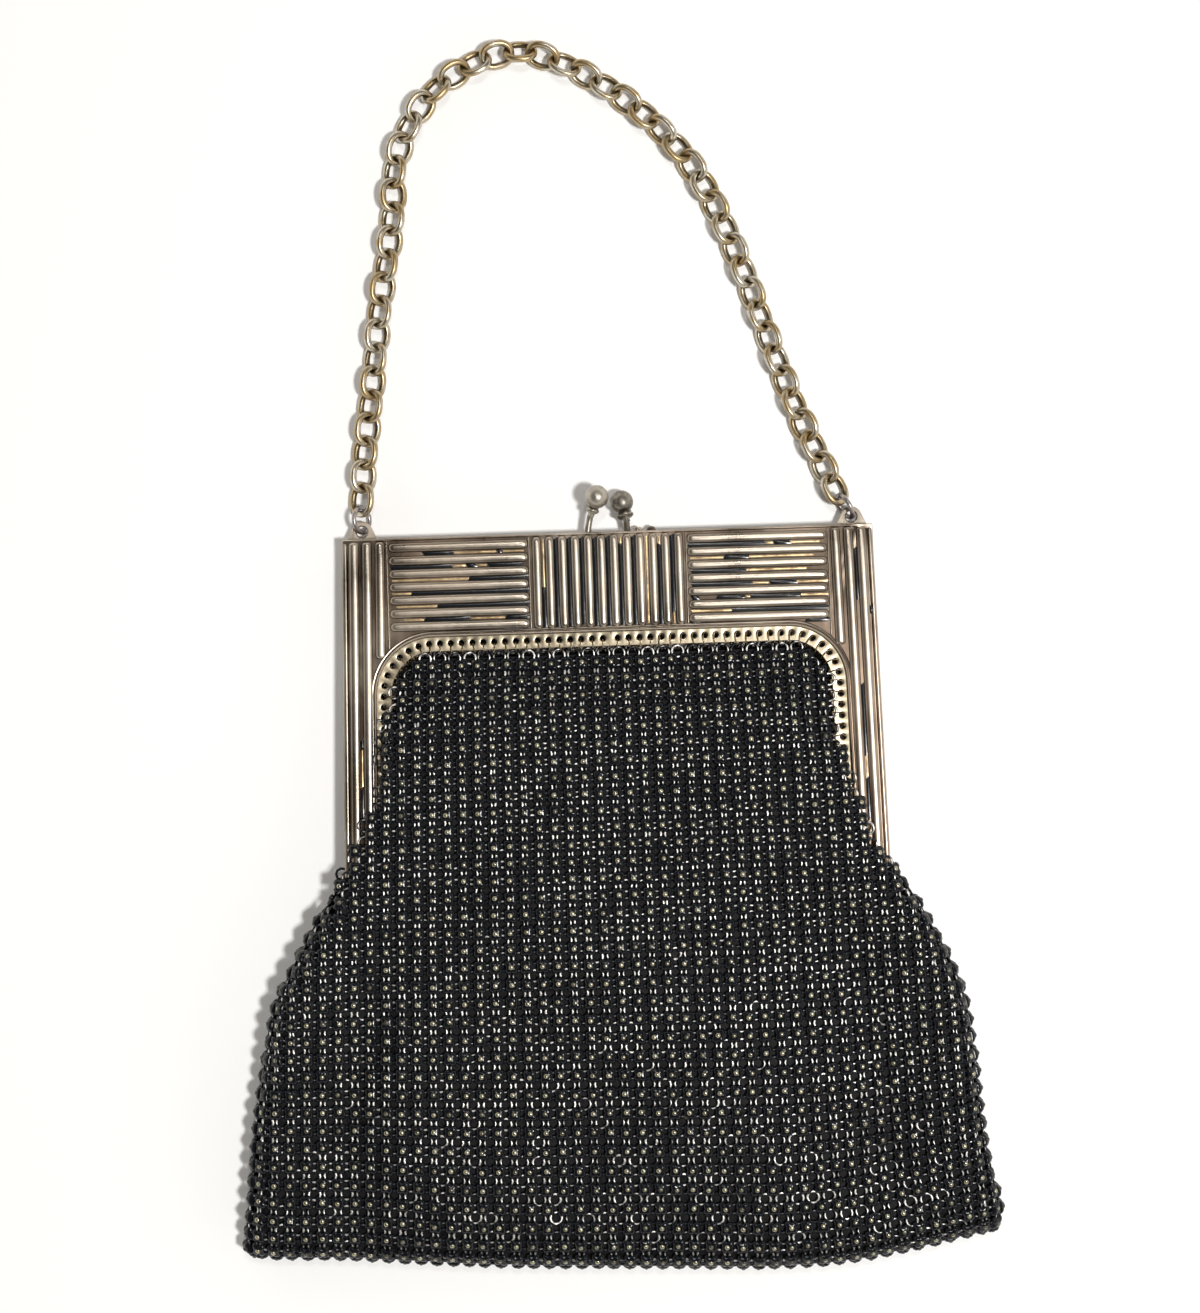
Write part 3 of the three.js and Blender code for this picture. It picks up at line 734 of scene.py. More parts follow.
def arch_at(along, line, inset):
    """Points of the arch, moved inwards by inset. Along is measured on the arch moved inwards by
    line, from its middle."""
    sizes = settings().frame
    straight = arch_straight()
    bend = sizes.arch_radius - line
    distance = np.abs(along)
    turn = np.clip((distance - straight) / bend, 0, math.pi / 2)
    round_part = sizes.arch_radius - inset
    x = np.minimum(distance, straight) + round_part * np.sin(turn)
    y = -sizes.arch_top - sizes.arch_radius + round_part * np.cos(turn)
    y = y - np.maximum(distance - straight - bend * math.pi / 2, 0)
    return np.sign(along) * (x + spread_at(y)), y


def arch_half_length(line):
    """Half of the arch's length, down to the end of a leg."""
    sizes = settings().frame
    down = sizes.leg - sizes.arch_top - sizes.arch_radius
    return arch_straight() + (sizes.arch_radius - line) * math.pi / 2 + down


def arch_stations(line):
    """Places along the arch, close together in its corners, from the left leg to the right."""
    straight = arch_straight()
    bend = (settings().frame.arch_radius - line) * math.pi / 2
    end = arch_half_length(line)
    right = np.concatenate(
        [
            np.linspace(0, straight, 12)[1:],
            straight + np.linspace(0, bend, 25)[1:],
            np.linspace(straight + bend, end, 14)[1:],
        ]
    )
    return np.concatenate([-right[::-1], [0.0], right])


def outline_at(along, inset):
    """Points of the frame's outer edge beside the same places along the arch."""
    sizes = settings().frame
    half = sizes.width / 2 - inset
    straight = arch_straight()
    bend = sizes.arch_radius * math.pi / 2
    arc_end = -sizes.arch_top - sizes.arch_radius
    distance = np.abs(along)
    into = np.clip((distance - straight) / bend, 0, 1)
    x = np.where(into < 0.5, np.minimum(distance, straight) + (half - straight) * 2 * into, half)
    y = np.where(into < 0.5, -inset, -inset + (arc_end + inset) * (2 * into - 1))
    y = y - np.maximum(distance - straight - bend, 0)
    return np.sign(along) * (x + np.where(into >= 0.5, spread_at(y), 0)), y


def reed(size, width, height, cap):
    """A rounded bar with rounded ends, from the origin along -Y."""
    steps = np.linspace(0, math.pi / 2, 7)
    end = cap * (1 - np.cos(steps))
    places = np.concatenate([end, np.linspace(cap, size - cap, 9)[1:-1], (size - end)[::-1]])
    near = np.minimum(places, size - places)
    full = np.sqrt(np.clip(1 - (1 - np.minimum(near / cap, 1)) ** 2, 0, 1))
    turns = np.linspace(0, math.pi, 13)
    rows = []
    wear = []
    for place, grow in zip(places, full):
        x = width / 2 * (0.3 + 0.7 * grow) * np.cos(turns)
        z = height * grow * np.sin(turns) ** 0.85
        rows.append(np.stack([x, np.full_like(x, -place), z], axis=-1))
        wear.append(np.sin(turns) ** 1.5 * (0.35 + 0.65 * grow))
    return np.concatenate(rows), grid(len(places), len(turns)), np.concatenate(wear)


def set_down(points, x, y, z, angle=0.0):
    """Points turned about Z and moved to their place."""
    turn, move = math.cos(angle), math.sin(angle)
    made = points.copy()
    made[:, 0] = points[:, 0] * turn - points[:, 1] * move + x
    made[:, 1] = points[:, 0] * move + points[:, 1] * turn + y
    made[:, 2] = points[:, 2] + z
    return made


def filled_groove(piece, start, aim, size, width, marks, z):
    """Strips of enamel or bare brass along one groove."""
    start = np.asarray(start, float)
    aim = np.asarray(aim, float)
    side = np.array((-aim[1], aim[0]))
    for index, (first, last, finish) in enumerate(marks):
        slant = 0.35 * MM * (1 if index % 2 else -1)
        stations = np.linspace(first * size, last * size, 6)
        across = np.linspace(-0.5, 0.5, 5) * width * (1.0 if finish == BLACK else 0.42)
        rise = (0.22 if finish == BLACK else 0.1) * MM
        rows = []
        for order, station in enumerate(stations):
            ends = 1 if order in (0, len(stations) - 1) else 0
            shift = slant * across / width * 2 * ends
            low = 0.0 if ends else rise
            middle = start + aim * station
            x = middle[0] + side[0] * across + aim[0] * shift
            y = middle[1] + side[1] * across + aim[1] * shift
            height = z + low * np.cos(np.linspace(-1, 1, 5) * 1.2)
            rows.append(np.stack([x, y, height], axis=-1))
        piece.add(np.concatenate(rows), grid(len(stations), 5), wear=0.3, slot=finish)


def add_reeds(piece):
    """The basket-weave of reeded panels and what is left of the enamel between the reeds."""
    sizes = settings().frame
    floor = reed_floor()
    top = -0.7 * sizes.lip
    lean = math.atan2(sizes.spread, sizes.leg)
    half = sizes.width / 2
    side_width = SIDE_REEDS * sizes.side_pitch
    bar_x = half - sizes.flange - side_width / 2
    panel_height = sizes.arch_top + 0.3 * MM + top
    across = bar_x - side_width / 2 - sizes.centre_panel / 2 - 2 * sizes.panel_seam
    row_pitch = panel_height / PANEL_REEDS
    cap = 1.5 * MM
    bar_width = sizes.side_pitch * (sizes.reed_share + 0.06)
    for side in (-1, 1):
        for index in range(SIDE_REEDS):
            offset = (1 - index) * sizes.side_pitch
            inmost = index == SIDE_REEDS - 1
            long = INMOST_REED * MM if inmost else sizes.leg + top - 0.5 * MM
            points, faces, wear = reed(long, bar_width, sizes.reed_height, cap * 0.6)
            x = side * (bar_x + offset)
            piece.add(set_down(points, x, top, floor, side * lean), faces, wear)
        points, faces, wear = reed(sizes.leg - 1 * MM, 1.05 * MM, 0.42 * MM, 0.5 * MM)
        place = (side * (half - 0.78 * MM), -0.9 * MM, floor - sizes.flange_drop)
        piece.add(set_down(points, *place, side * lean), faces, 0.75 * wear)
        for index in range(PANEL_REEDS):
            points, faces, wear = reed(across, row_pitch * sizes.reed_share, sizes.reed_height, cap)
            x = side * (sizes.centre_panel / 2 + sizes.panel_seam) + (0 if side > 0 else -across)
            y = top - (index + 0.5) * row_pitch
            piece.add(set_down(points, x, y, floor, math.pi / 2), faces, wear)
        marks = RIGHT_PANEL if side > 0 else LEFT_PANEL
        start = side * (sizes.centre_panel / 2 + sizes.panel_seam) - (0 if side > 0 else across)
        for groove, strips in marks.items():
            y = top - groove * row_pitch + (0.25 * MM if groove == PANEL_REEDS else 0)
            wide = row_pitch * (1.06 - sizes.reed_share)
            filled_groove(piece, (start, y), (1, 0), across, wide, strips, floor + 0.02 * MM)
        # Thin ridges between the panels
        beside_bar = (bar_x - side_width / 2 - 0.1 * MM, 27.2 * MM)
        beside_middle = ((sizes.centre_panel + sizes.panel_seam) / 2, panel_height)
        for x, low in (beside_bar, beside_middle):
            points, faces, wear = reed(low, 0.42 * MM, 0.5 * MM, 0.5 * MM)
            piece.add(set_down(points, side * x, top, floor), faces, 0.9 + 0.2 * wear)
    pitch = sizes.centre_panel / MIDDLE_REEDS
    for index in range(MIDDLE_REEDS):
        points, faces, wear = reed(
            panel_height - 0.1 * MM, pitch * sizes.reed_share, sizes.reed_height, cap
        )
        x = (index + 0.5) * pitch - sizes.centre_panel / 2
        piece.add(set_down(points, x, top, floor), faces, wear)
    for groove, strips in MIDDLE_PANEL.items():
        x = groove * pitch - sizes.centre_panel / 2
        wide = pitch * (1.06 - sizes.reed_share)
        filled_groove(piece, (x, top), (0, -1), panel_height, wide, strips, floor + 0.02 * MM)
    for side, groove, first, last, finish in BAR_PATCHES:
        x = half - sizes.flange - groove * sizes.side_pitch
        wide = sizes.side_pitch * (1.0 - sizes.reed_share)
        aim = (side * math.sin(lean), -math.cos(lean))
        strips = ((first * MM / sizes.leg, last * MM / sizes.leg, finish),)
        filled_groove(piece, (side * x, 0), aim, sizes.leg, wide, strips, floor + 0.02 * MM)


def add_channel(piece):
    """The pressed sheet: floor of the reeds, flange, outer wall and inner face."""
    sizes = settings().frame
    floor = reed_floor()
    along = arch_stations(0)
    drop = sizes.flange_drop
    straight = arch_straight()
    bend = sizes.arch_radius * math.pi / 2
    into = smooth((np.abs(along) - straight - bend * 0.42) / (bend * 0.12))
    top_share = 1 - into
    border = sizes.flange * into + sizes.lip * 0.55 * top_share
    low = floor - drop * into + 0.22 * MM * top_share
    edge = 0.25 * MM
    rows = []
    wear = []
    x, y = arch_at(along, 0, 0)
    rows.append((x, y, np.full_like(x, floor - sizes.sheet)))
    wear.append(0.1)
    rows.append((x, y, np.full_like(x, floor)))
    wear.append(0.12)
    profile = (
        # inset from the outer edge, height, wear
        (border + 0.15 * MM, floor, 0.25),
        (border - 0.1 * MM, low, 0.45),
        (edge, low, 0.5),
        (0, low - edge, 0.8),
        (0, sizes.seam + 0.1 * MM, 0.6),
        (0.1 * MM, sizes.seam, 0.6),
        (sizes.sheet, sizes.seam, 0.4),
        (sizes.sheet, floor - sizes.sheet - 0.4 * MM, 0.1),
    )
    for inset, height, value in profile:
        x, y = outline_at(along, inset)
        rows.append((x, y, np.broadcast_to(height, x.shape)))
        wear.append(value)
    places = np.stack([np.stack(row, axis=-1) for row in rows])
    values = np.repeat(np.array(wear), len(along))
    piece.add(places, grid(len(rows), len(along)), values)


def add_moulding(piece):
    """The double moulding along the arch and the rolled inner edge of the rim."""
    sizes = settings().frame
    floor = reed_floor()
    along = arch_stations(0)
    rise = sizes.moulding_rise
    width = sizes.moulding
    profile = (
        # share of the width, height as a share of the rise, wear
        (-0.1, -0.05, 0.1),
        (0.02, 0.45, 0.7),
        (0.14, 0.72, 1.0),
        (0.28, 0.62, 0.8),
        (0.38, 0.12, 0.15),
        (0.48, 0.16, 0.2),
        (0.58, 0.82, 0.9),
        (0.72, 1.05, 1.1),
        (0.86, 0.8, 1.0),
        (0.97, 0.0, 0.5),
        (1.0, -1.1, 0.3),
    )
    rows = []
    for place, height, _ in profile:
        x, y = arch_at(along, 0, place * width)
        rows.append(np.stack([x, y, np.full_like(x, floor + height * rise)], axis=-1))
    wear = np.repeat([value for _, _, value in profile], len(along))
    piece.add(np.stack(rows), grid(len(rows), len(along)), wear)


def hole_line():
    """How far inside the arch the rim's holes lie."""
    sizes = settings().frame
    return sizes.moulding + sizes.rim * 0.45


def hole_places():
    """Places of the rim's holes along their line."""
    sizes = settings().frame
    end = arch_half_length(hole_line()) - sizes.hole_pitch
    count = 2 * int(end / sizes.hole_pitch)
    return (np.arange(count) - (count - 1) / 2) * sizes.hole_pitch


def add_rim(piece):
    """The pierced rim, one cell to each hole."""
    sizes = settings().frame
    line = hole_line()
    top = rim_height()
    low = top - sizes.rim_thick
    half_long = sizes.hole_pitch / 2
    half_wide = sizes.moulding + sizes.rim - line
    corner = math.atan2(half_wide, half_long)
    quarter = [0, corner / 2, corner, (corner + math.pi / 2) / 2]
    mirrored = [math.pi / 2] + [math.pi - angle for angle in reversed(quarter[1:])]
    angles = np.array(quarter + mirrored)
    angles = np.concatenate([angles, angles + math.pi])
    reach = np.minimum(
        half_long / np.maximum(np.abs(np.cos(angles)), 1e-9),
        half_wide / np.maximum(np.abs(np.sin(angles)), 1e-9),
    )
    radius = sizes.hole / 2
    rings = (
        (reach, low, 0.3),
        (reach, top, 1.5),
        (np.full_like(angles, radius * 1.3), top, 1.5),
        (np.full_like(angles, radius * 1.1), top - 0.04 * MM, 1.2),
        (np.full_like(angles, radius * 0.99), top - 0.12 * MM, 0.2),
        (np.full_like(angles, radius * 0.96), low, 0.05),
        (reach, low, 0.3),
    )
    for place in hole_places():
        rows = []
        for size, height, _ in rings:
            x, y = arch_at(place + size * np.cos(angles), line, line)
            inner_x, inner_y = arch_at(place + size * np.cos(angles), line, line + 1 * MM)
            step = size * np.sin(angles) / MM
            x = x + (inner_x - x) * step
            y = y + (inner_y - y) * step
            rows.append(np.stack([x, y, np.full_like(x, height)], axis=-1))
        wear = np.repeat([value for _, _, value in rings], len(angles))
        piece.add(np.stack(rows), grid(len(rings), len(angles), round_columns=True), wear)
    along = arch_stations(line)
    edge = sizes.moulding + sizes.rim
    rolled = (
        (edge, top - 0.02 * MM),
        (edge + 0.12 * MM, top - 0.12 * MM),
        (edge + 0.12 * MM, low),
        (edge, low),
    )
    rows = []
    for inset, height in rolled:
        x, y = arch_at(along, line, inset)
        rows.append(np.stack([x, y, np.full_like(x, height)], axis=-1))
    piece.add(np.stack(rows), grid(len(rows), len(along)), 1.2)


def add_knuckles(piece, inner):
    """The rolled knuckles at the ends of the legs: the outer or the inner leaf."""
    sizes = settings().frame
    middle = sizes.width / 2 + sizes.spread - sizes.flange - 2 * sizes.hinge_leaf
    gap = 0.15 * MM
    start = middle - sizes.hinge_leaf if inner else middle + gap
    size = sizes.hinge_leaf - gap
    radius = sizes.hinge_radius
    profile = (
        (0.9 * MM, 0),
        (radius - 0.3 * MM, 0),
        (radius, 0.3 * MM),
        (radius, size - 0.3 * MM),
        (radius - 0.3 * MM, size),
        (0.9 * MM, size),
    )
    unit, faces = revolved(profile, 28)
    hinge_y = -sizes.leg + sizes.hinge_up
    for side in (-1, 1):
        x = side * start
        axes = axes_along((side, 0, 0))
        places = np.array([(x, hinge_y, sizes.depth / 2)])
        piece.add_copies(unit, faces, places, axes[None], wear=np.array([0.5]))


def frame_half(inner):
    """All that both halves of the frame share, with the outer or the inner knuckles."""
    piece = Piece()
    add_channel(piece)
    add_reeds(piece)
    add_moulding(piece)
    add_rim(piece)
    add_knuckles(piece, inner)
    return piece


def frame_finishes():
    return [
        material("silver_plate", silver_plate),
        material("groove_enamel", groove_enamel),
        material("bare_gold", bare_gold),
    ]


class PURSE_OT_frame(bpy.types.Operator):
    """Both halves of the snap frame, with reeds, worn enamel, moulding and pierced rim"""

    bl_idname = "purse.frame"
    bl_label = "Frame"

    def execute(self, context):
        frame_half(False).make(
            "snap_frame_front",
            frame_finishes(),
            "frame_silver",
            replaces=("frame_front",),
            matrix=on_frame(),
            weld=True,
        )
        back = frame_half(True).turned(turned_over())
        add_ears(back)
        add_rivets(back)
        back.make(
            "snap_frame_back",
            frame_finishes(),
            "frame_silver",
            replaces=("frame_back",),
            matrix=on_frame(),
            weld=True,
        )
        for name in ("hinge_pin_left", "hinge_pin_right"):
            pin = frame["nodes"][name]
            pin.data.materials.clear()
            pin.data.materials.append(material("dark_steel", dark_steel))
        return {"FINISHED"}


def ear_z():
    """Height of the middle of the ears, in the frame's axes."""
    sizes = settings().frame
    top = sizes.depth - sizes.seam - 0.15 * MM
    return top - settings().handle.ear_thick / 2


def add_ears(piece):
    """The flared ears that hold the jump rings."""
    sizes = settings().frame
    handle = settings().handle
    count = 48
    turns = np.arange(count) * 2 * math.pi / count
    hole = handle.ear_hole / 2
    depth = handle.ear_up + 0.5 * MM
    corner = math.atan2(-depth, handle.ear_base / 2)
    leave = corner + math.acos(handle.ear_radius / math.hypot(depth, handle.ear_base / 2))
    slope = np.arctan2(np.sin(turns), np.abs(np.cos(turns)))
    outer = np.where(slope > leave, handle.ear_radius, handle.ear_radius / np.cos(slope - leave))
    outer = np.where(slope < corner, depth / np.maximum(-np.sin(slope), 0.1), outer)
    half = handle.ear_thick / 2
    soft = 0.22 * MM
    rings = (
        (np.full(count, hole), -half + soft, 0.2),
        (np.full(count, hole), half - soft, 0.4),
        (np.full(count, hole + soft), half, 0.9),
        (outer - soft, half, 0.8),
        (outer, half - soft, 1.0),
        (outer, -half + soft, 0.6),
        (outer - soft, -half, 0.3),
        (np.full(count, hole + soft), -half, 0.3),
        (np.full(count, hole), -half + soft, 0.2),
    )
    rows = [
        np.stack([size * np.cos(turns), size * np.sin(turns), np.full(count, height)], axis=-1)
        for size, height, _ in rings
    ]
    wear = np.repeat([value for _, _, value in rings], count)
    faces = grid(len(rings), count, round_columns=True)
    for side in (-1, 1):
        x = side * (sizes.width / 2 - handle.ear_inset)
        place = np.array((x, handle.ear_up, ear_z()))
        piece.add(np.concatenate(rows) + place, faces, wear)


def add_rivets(piece):
    """Two rivet heads beside the clasp."""
    sizes = settings().frame
    dome = [(1.2, -0.2), (1.2, 0.5), (1.02, 1.0), (0.7, 1.3), (0.35, 1.46), (0.02, 1.5)]
    unit, faces = revolved(np.array(dome) * MM, 24)
    low = sizes.depth - sizes.seam - 1.3 * MM
    places = np.array([(7.8 * MM, 0, low), (11.2 * MM, 0, low)])
    axes = np.stack([axes_along((0, 1, 0))] * 2)
    piece.add_copies(unit, faces, places, axes, wear=np.array([1.0, -0.4]))


# Clasp and handle

# Foot, middle and ball of each stem, in millimetres in the frame's axes
CLASPS = {
    "clasp_front": {"foot": (-5.1, -1.7, 4.9), "bow": (-4.3, 3.2, 5.4), "ball": (-2.3, 8.7, 8.6)},
    "clasp_back": {"foot": (5.3, -1.2, 3.0), "bow": (4.9, 3.4, 5.5), "ball": (3.9, 7.6, 4.4)},
}


def bowed(points, count):
    """A smooth path through three points."""
    first, middle, last = (np.asarray(point, float) for point in points)
    control = 2 * middle - (first + last) / 2
    shares = np.linspace(0, 1, count)[:, None]
    return (1 - shares) ** 2 * first + 2 * shares * (1 - shares) * control + shares**2 * last


class PURSE_OT_clasp(bpy.types.Operator):
    """The two balls of the kiss-lock clasp, with collars and bowed stems"""

    bl_idname = "purse.clasp"
    bl_label = "Clasp"

    def execute(self, context):
        handle = settings().handle
        for name, places in CLASPS.items():
            piece = Piece()
            foot, bow, ball = (np.array(places[part]) * MM for part in ("foot", "bow", "ball"))
            aim = (ball - bow) / np.linalg.norm(ball - bow)
            radius = handle.ball
            collar = handle.collar * (1 if name == "clasp_front" else 1.25)
            # The ball begins where its neck meets it, a little off its lowest point
            turns = np.linspace(0.16, math.pi, 30)
            ball_profile = [(radius * math.sin(t), -radius * math.cos(t)) for t in turns]
            below = radius * math.cos(turns[0])
            neck = [
                (handle.stem * 1.05, -below - 2.4 * MM),
                (handle.stem * 1.15, -below - 1.5 * MM),
                (collar * 0.95, -below - 1.3 * MM),
                (collar * 1.12, -below - 1.0 * MM),
                (collar * 1.12, -below - 0.75 * MM),
                (collar * 0.8, -below - 0.55 * MM),
                (collar * 0.72, -below - 0.3 * MM),
                (collar * 0.95, -below - 0.05 * MM),
            ]
            unit, faces = revolved(neck + ball_profile, 40)
            # The back ball gets less wear, so it comes out darker than the front one
            lightness = 0.9 if name == "clasp_front" else 0.3
            piece.add_copies(
                unit, faces, ball[None], axes_along(aim)[None], wear=np.array([lightness])
            )
            stem_end = ball - aim * (below + 1.4 * MM)
            points, faces = tube(bowed((foot, bow, stem_end), 14), handle.stem, 16)
            piece.add(points, faces, 0.45)
            piece.make(
                name + "_ball",
                [material("clasp_steel", clasp_steel)],
                "frame_silver",
                replaces=(name,),
                matrix=on_frame(),
                sharp=50,
            )
        return {"FINISHED"}


def ring_places():
    """Centre and aim of each jump ring, in the table's axes from the frame's top edge."""
    handle = settings().handle
    sizes = settings().frame
    found = {}
    for side, word in ((-1, "left"), (1, "right")):
        angle = math.radians(RING_AIMS[word])
        aim = np.array((math.cos(angle), math.sin(angle), 0))
        hole = np.array((side * (sizes.width / 2 - handle.ear_inset), handle.ear_up, ear_z()))
        found[word] = (hole + aim * handle.ring_radius, aim, side)
    return found


class PURSE_OT_rings(bpy.types.Operator):
    """The two steel jump rings between the ears and the chain"""

    bl_idname = "purse.rings"
    bl_label = "Jump rings"

    def execute(self, context):
        handle = settings().handle
        turns = np.linspace(0, 2 * math.pi, 49)[:-1]
        for word, (centre, aim, side) in ring_places().items():
            lean = math.pi / 2 + math.radians(side * RING_TILTS[word])
            across = math.cos(lean) * np.array((-aim[1], aim[0], 0))
            across[2] = math.sin(lean)
            # A steep ring is lifted until it stands on the table
            low = handle.ring_radius * math.sin(lean) + handle.ring_wire / 2
            centre = centre + np.array((0, 0, max(low - centre[2], 0)))
            path = centre + handle.ring_radius * (
                np.outer(np.cos(turns), aim) + np.outer(np.sin(turns), across)
            )
            piece = Piece()
            points, faces = tube(path, handle.ring_wire / 2, 14, closed=True)
            piece.add(points, faces, 0.5)
            name = "jump_ring_" + word
            piece.make(
                name + "_wire",
                [material("dark_steel", dark_steel)],
                "ring_steel",
                replaces=(name,),
                matrix=on_table(),
                sharp=0,
            )
        return {"FINISHED"}


def chain_joints():
    """Places where links meet, evenly spaced along a smooth curve through the route."""
    handle = settings().handle
    reach = handle.ring_radius - handle.ring_wire / 2 - 0.3 * MM - handle.link_bite / 2
    places = ring_places()
    starts = [places[word][0] + places[word][1] * reach for word in ("left", "right")]
    rest = (handle.link_width - handle.link_wire) / 2 * math.sin(math.radians(LINK_ROLL))
    rest += handle.link_wire / 2 + CHAIN_LIFT * MM
    route = [np.array((x * MM, y * MM, rest)) for x, y in CHAIN_ROUTE]
    points = [starts[0], *route, starts[1]]
    points = [2 * points[0] - points[1], *points, 2 * points[-1] - points[-2]]
    dense = []
    for before, first, second, after in zip(points, points[1:], points[2:], points[3:]):
        spans = ((before, first), (first, second), (second, after))
        gaps = [np.linalg.norm(end - start) ** 0.5 for start, end in spans]
        leave = (first - before) / gaps[0] - (second - before) / (gaps[0] + gaps[1])
        leave = (leave + (second - first) / gaps[1]) * gaps[1]
        arrive = (second - first) / gaps[1] - (after - first) / (gaps[1] + gaps[2])
        arrive = (arrive + (after - second) / gaps[2]) * gaps[1]
        t = np.linspace(0, 1, 60, endpoint=False)[:, None]
        dense.append(cubic(first, second, leave, arrive, t))
    dense = np.concatenate([*dense, starts[1][None]])
    steps = np.concatenate([[0], np.cumsum(np.linalg.norm(np.diff(dense, axis=0), axis=1))])
    count = 2 * round((steps[-1] / handle.link_pitch - 1) / 2) + 1
    even = np.linspace(0, steps[-1], count + 1)
    return np.stack([np.interp(even, steps, dense[:, axis]) for axis in range(3)], axis=-1)


class PURSE_OT_chain(bpy.types.Operator):
    """The handle chain of oval links"""

    bl_idname = "purse.chain"
    bl_label = "Chain"

    def execute(self, context):
        handle = settings().handle
        joints = chain_joints()
        wire = handle.link_wire / 2 * 0.97
        bend = handle.link_width / 2 - wire
        turns = np.linspace(0, 2 * math.pi, 41)[:-1] + 0.02
        around = np.arange(12) * 2 * math.pi / 12
        rng = np.random.default_rng(5)
        piece = Piece()
        for index, (start, end) in enumerate(zip(joints, joints[1:])):
            size = np.linalg.norm(end - start)
            half_long = size / 2 + wire - handle.link_bite / 2
            cos, sin = np.cos(turns), np.sin(turns)
            long, wide = (np.sign(v) * np.abs(v) ** 0.88 for v in (cos, sin))
            middle = np.stack([half_long * long, bend * wide, 0 * cos], axis=-1)
            out = np.stack([cos * bend, sin * half_long, 0 * cos], axis=-1)
            out /= np.linalg.norm(out, axis=-1, keepdims=True)
            thick = wire * (1 + 0.03 * rng.standard_normal())
            rows = middle[:, None, :] + thick * (
                np.cos(around)[None, :, None] * out[:, None, :]
                + np.sin(around)[None, :, None] * np.array((0, 0, 1.0))
            )
            on_wire = 0.42 + 0.4 * np.cos(around) + 0.25 * np.abs(np.sin(around))
            wear = np.tile(on_wire, len(turns))
            roll = math.radians(LINK_ROLL if index % 2 else -LINK_ROLL)
            if 0 < index < len(joints) - 2:
                roll += math.radians(4) * rng.standard_normal()
            aim = (end - start) / size
            axes = axes_along(aim)
            side, up = axes[0], axes[1]
            turned = np.stack(
                [
                    aim,
                    side * math.cos(roll) + up * math.sin(roll),
                    -side * math.sin(roll) + up * math.cos(roll),
                ]
            )
            points = rows.reshape(-1, 3) @ turned + (start + end) / 2
            piece.add(points, grid(len(turns), len(around), True, True), wear)
        piece.make(
            "chain_links",
            [material("aged_brass", aged_brass)],
            "chain_brass",
            replaces=("chain",),
            matrix=on_table(),
            sharp=0,
        )
        return {"FINISHED"}


# Bag


def eased(places, values, at):
    """A smooth curve through values at places."""
    slopes = np.gradient(values, places)
    index = np.clip(np.searchsorted(places, at) - 1, 0, len(places) - 2)
    gap = places[index + 1] - places[index]
    t = np.clip((at - places[index]) / gap, 0, 1)
    leave, arrive = slopes[index] * gap, slopes[index + 1] * gap
    return cubic(values[index], values[index + 1], leave, arrive, t)


def mouth_y():
    """Where the bag's mouth begins below the frame's top edge."""
    sizes = settings().frame
    return -sizes.arch_top - sizes.moulding - sizes.rim - 0.4 * MM


def inside_arch(x, y):
    """How far points are inside the rim's inner edge."""
    sizes = settings().frame
    inset = sizes.moulding + sizes.rim
    half = sizes.width / 2 - sizes.leg_width
    across = np.abs(x) - spread_at(y)
    straight = half - sizes.arch_radius
    from_top = -sizes.arch_top - inset - y
    from_side = half - inset - across
    corner = (across > straight) & (y > -sizes.arch_top - sizes.arch_radius)
    from_middle = np.hypot(across - straight, y + sizes.arch_top + sizes.arch_radius)
    in_corner = sizes.arch_radius - inset - from_middle
    return np.where(corner, in_corner, np.minimum(from_top, from_side))


# Where the mesh begins to cover the legs: height in millimetres, half width covered there
LEFT_COVER = (
    (-86, 200),
    (-83, 68.4),
    (-80, 66.2),
    (-75, 64.6),
    (-69.6, 62.4),
    (-64.6, 60.3),
    (-59.9, 58.6),
    (-46.7, 58.6),
    (-43, 56.5),
    (-41, 0),
)
RIGHT_COVER = (
    (-87, 200),
    (-84.4, 68.8),
    (-79.6, 66.6),
    (-76.1, 63.9),
    (-72.4, 62.7),
    (-66.8, 59.8),
    (-61.2, 58.8),
    (-52.5, 56.4),
    (-50, 55),
    (-49, 0),
)


# Where the bottom fold hangs lower: place across, width and drop in millimetres
LOW_SPOTS = ((52, 36, 3.3), (-92, 16, 2))
# Soft waves of the front: radians to the millimetre across and down, phase, share of the height
WAVES = ((0.082, 0.05, 0.6, 1), (-0.03, 0.115, 0, 0.7), (0.17, -0.11, 2, 0.5))
WAVE_HEIGHT = 0.42
# Half steps of the mesh to each side of its middle, enough to reach round both edges
COLUMNS = 58


def covered(x, y):
    """Half width that the mesh covers over the legs."""
    found = []
    for cover in (LEFT_COVER, RIGHT_COVER):
        places, widths = np.array(cover).T * MM
        found.append(np.interp(y, places, widths))
    return np.where(x < 0, *found)


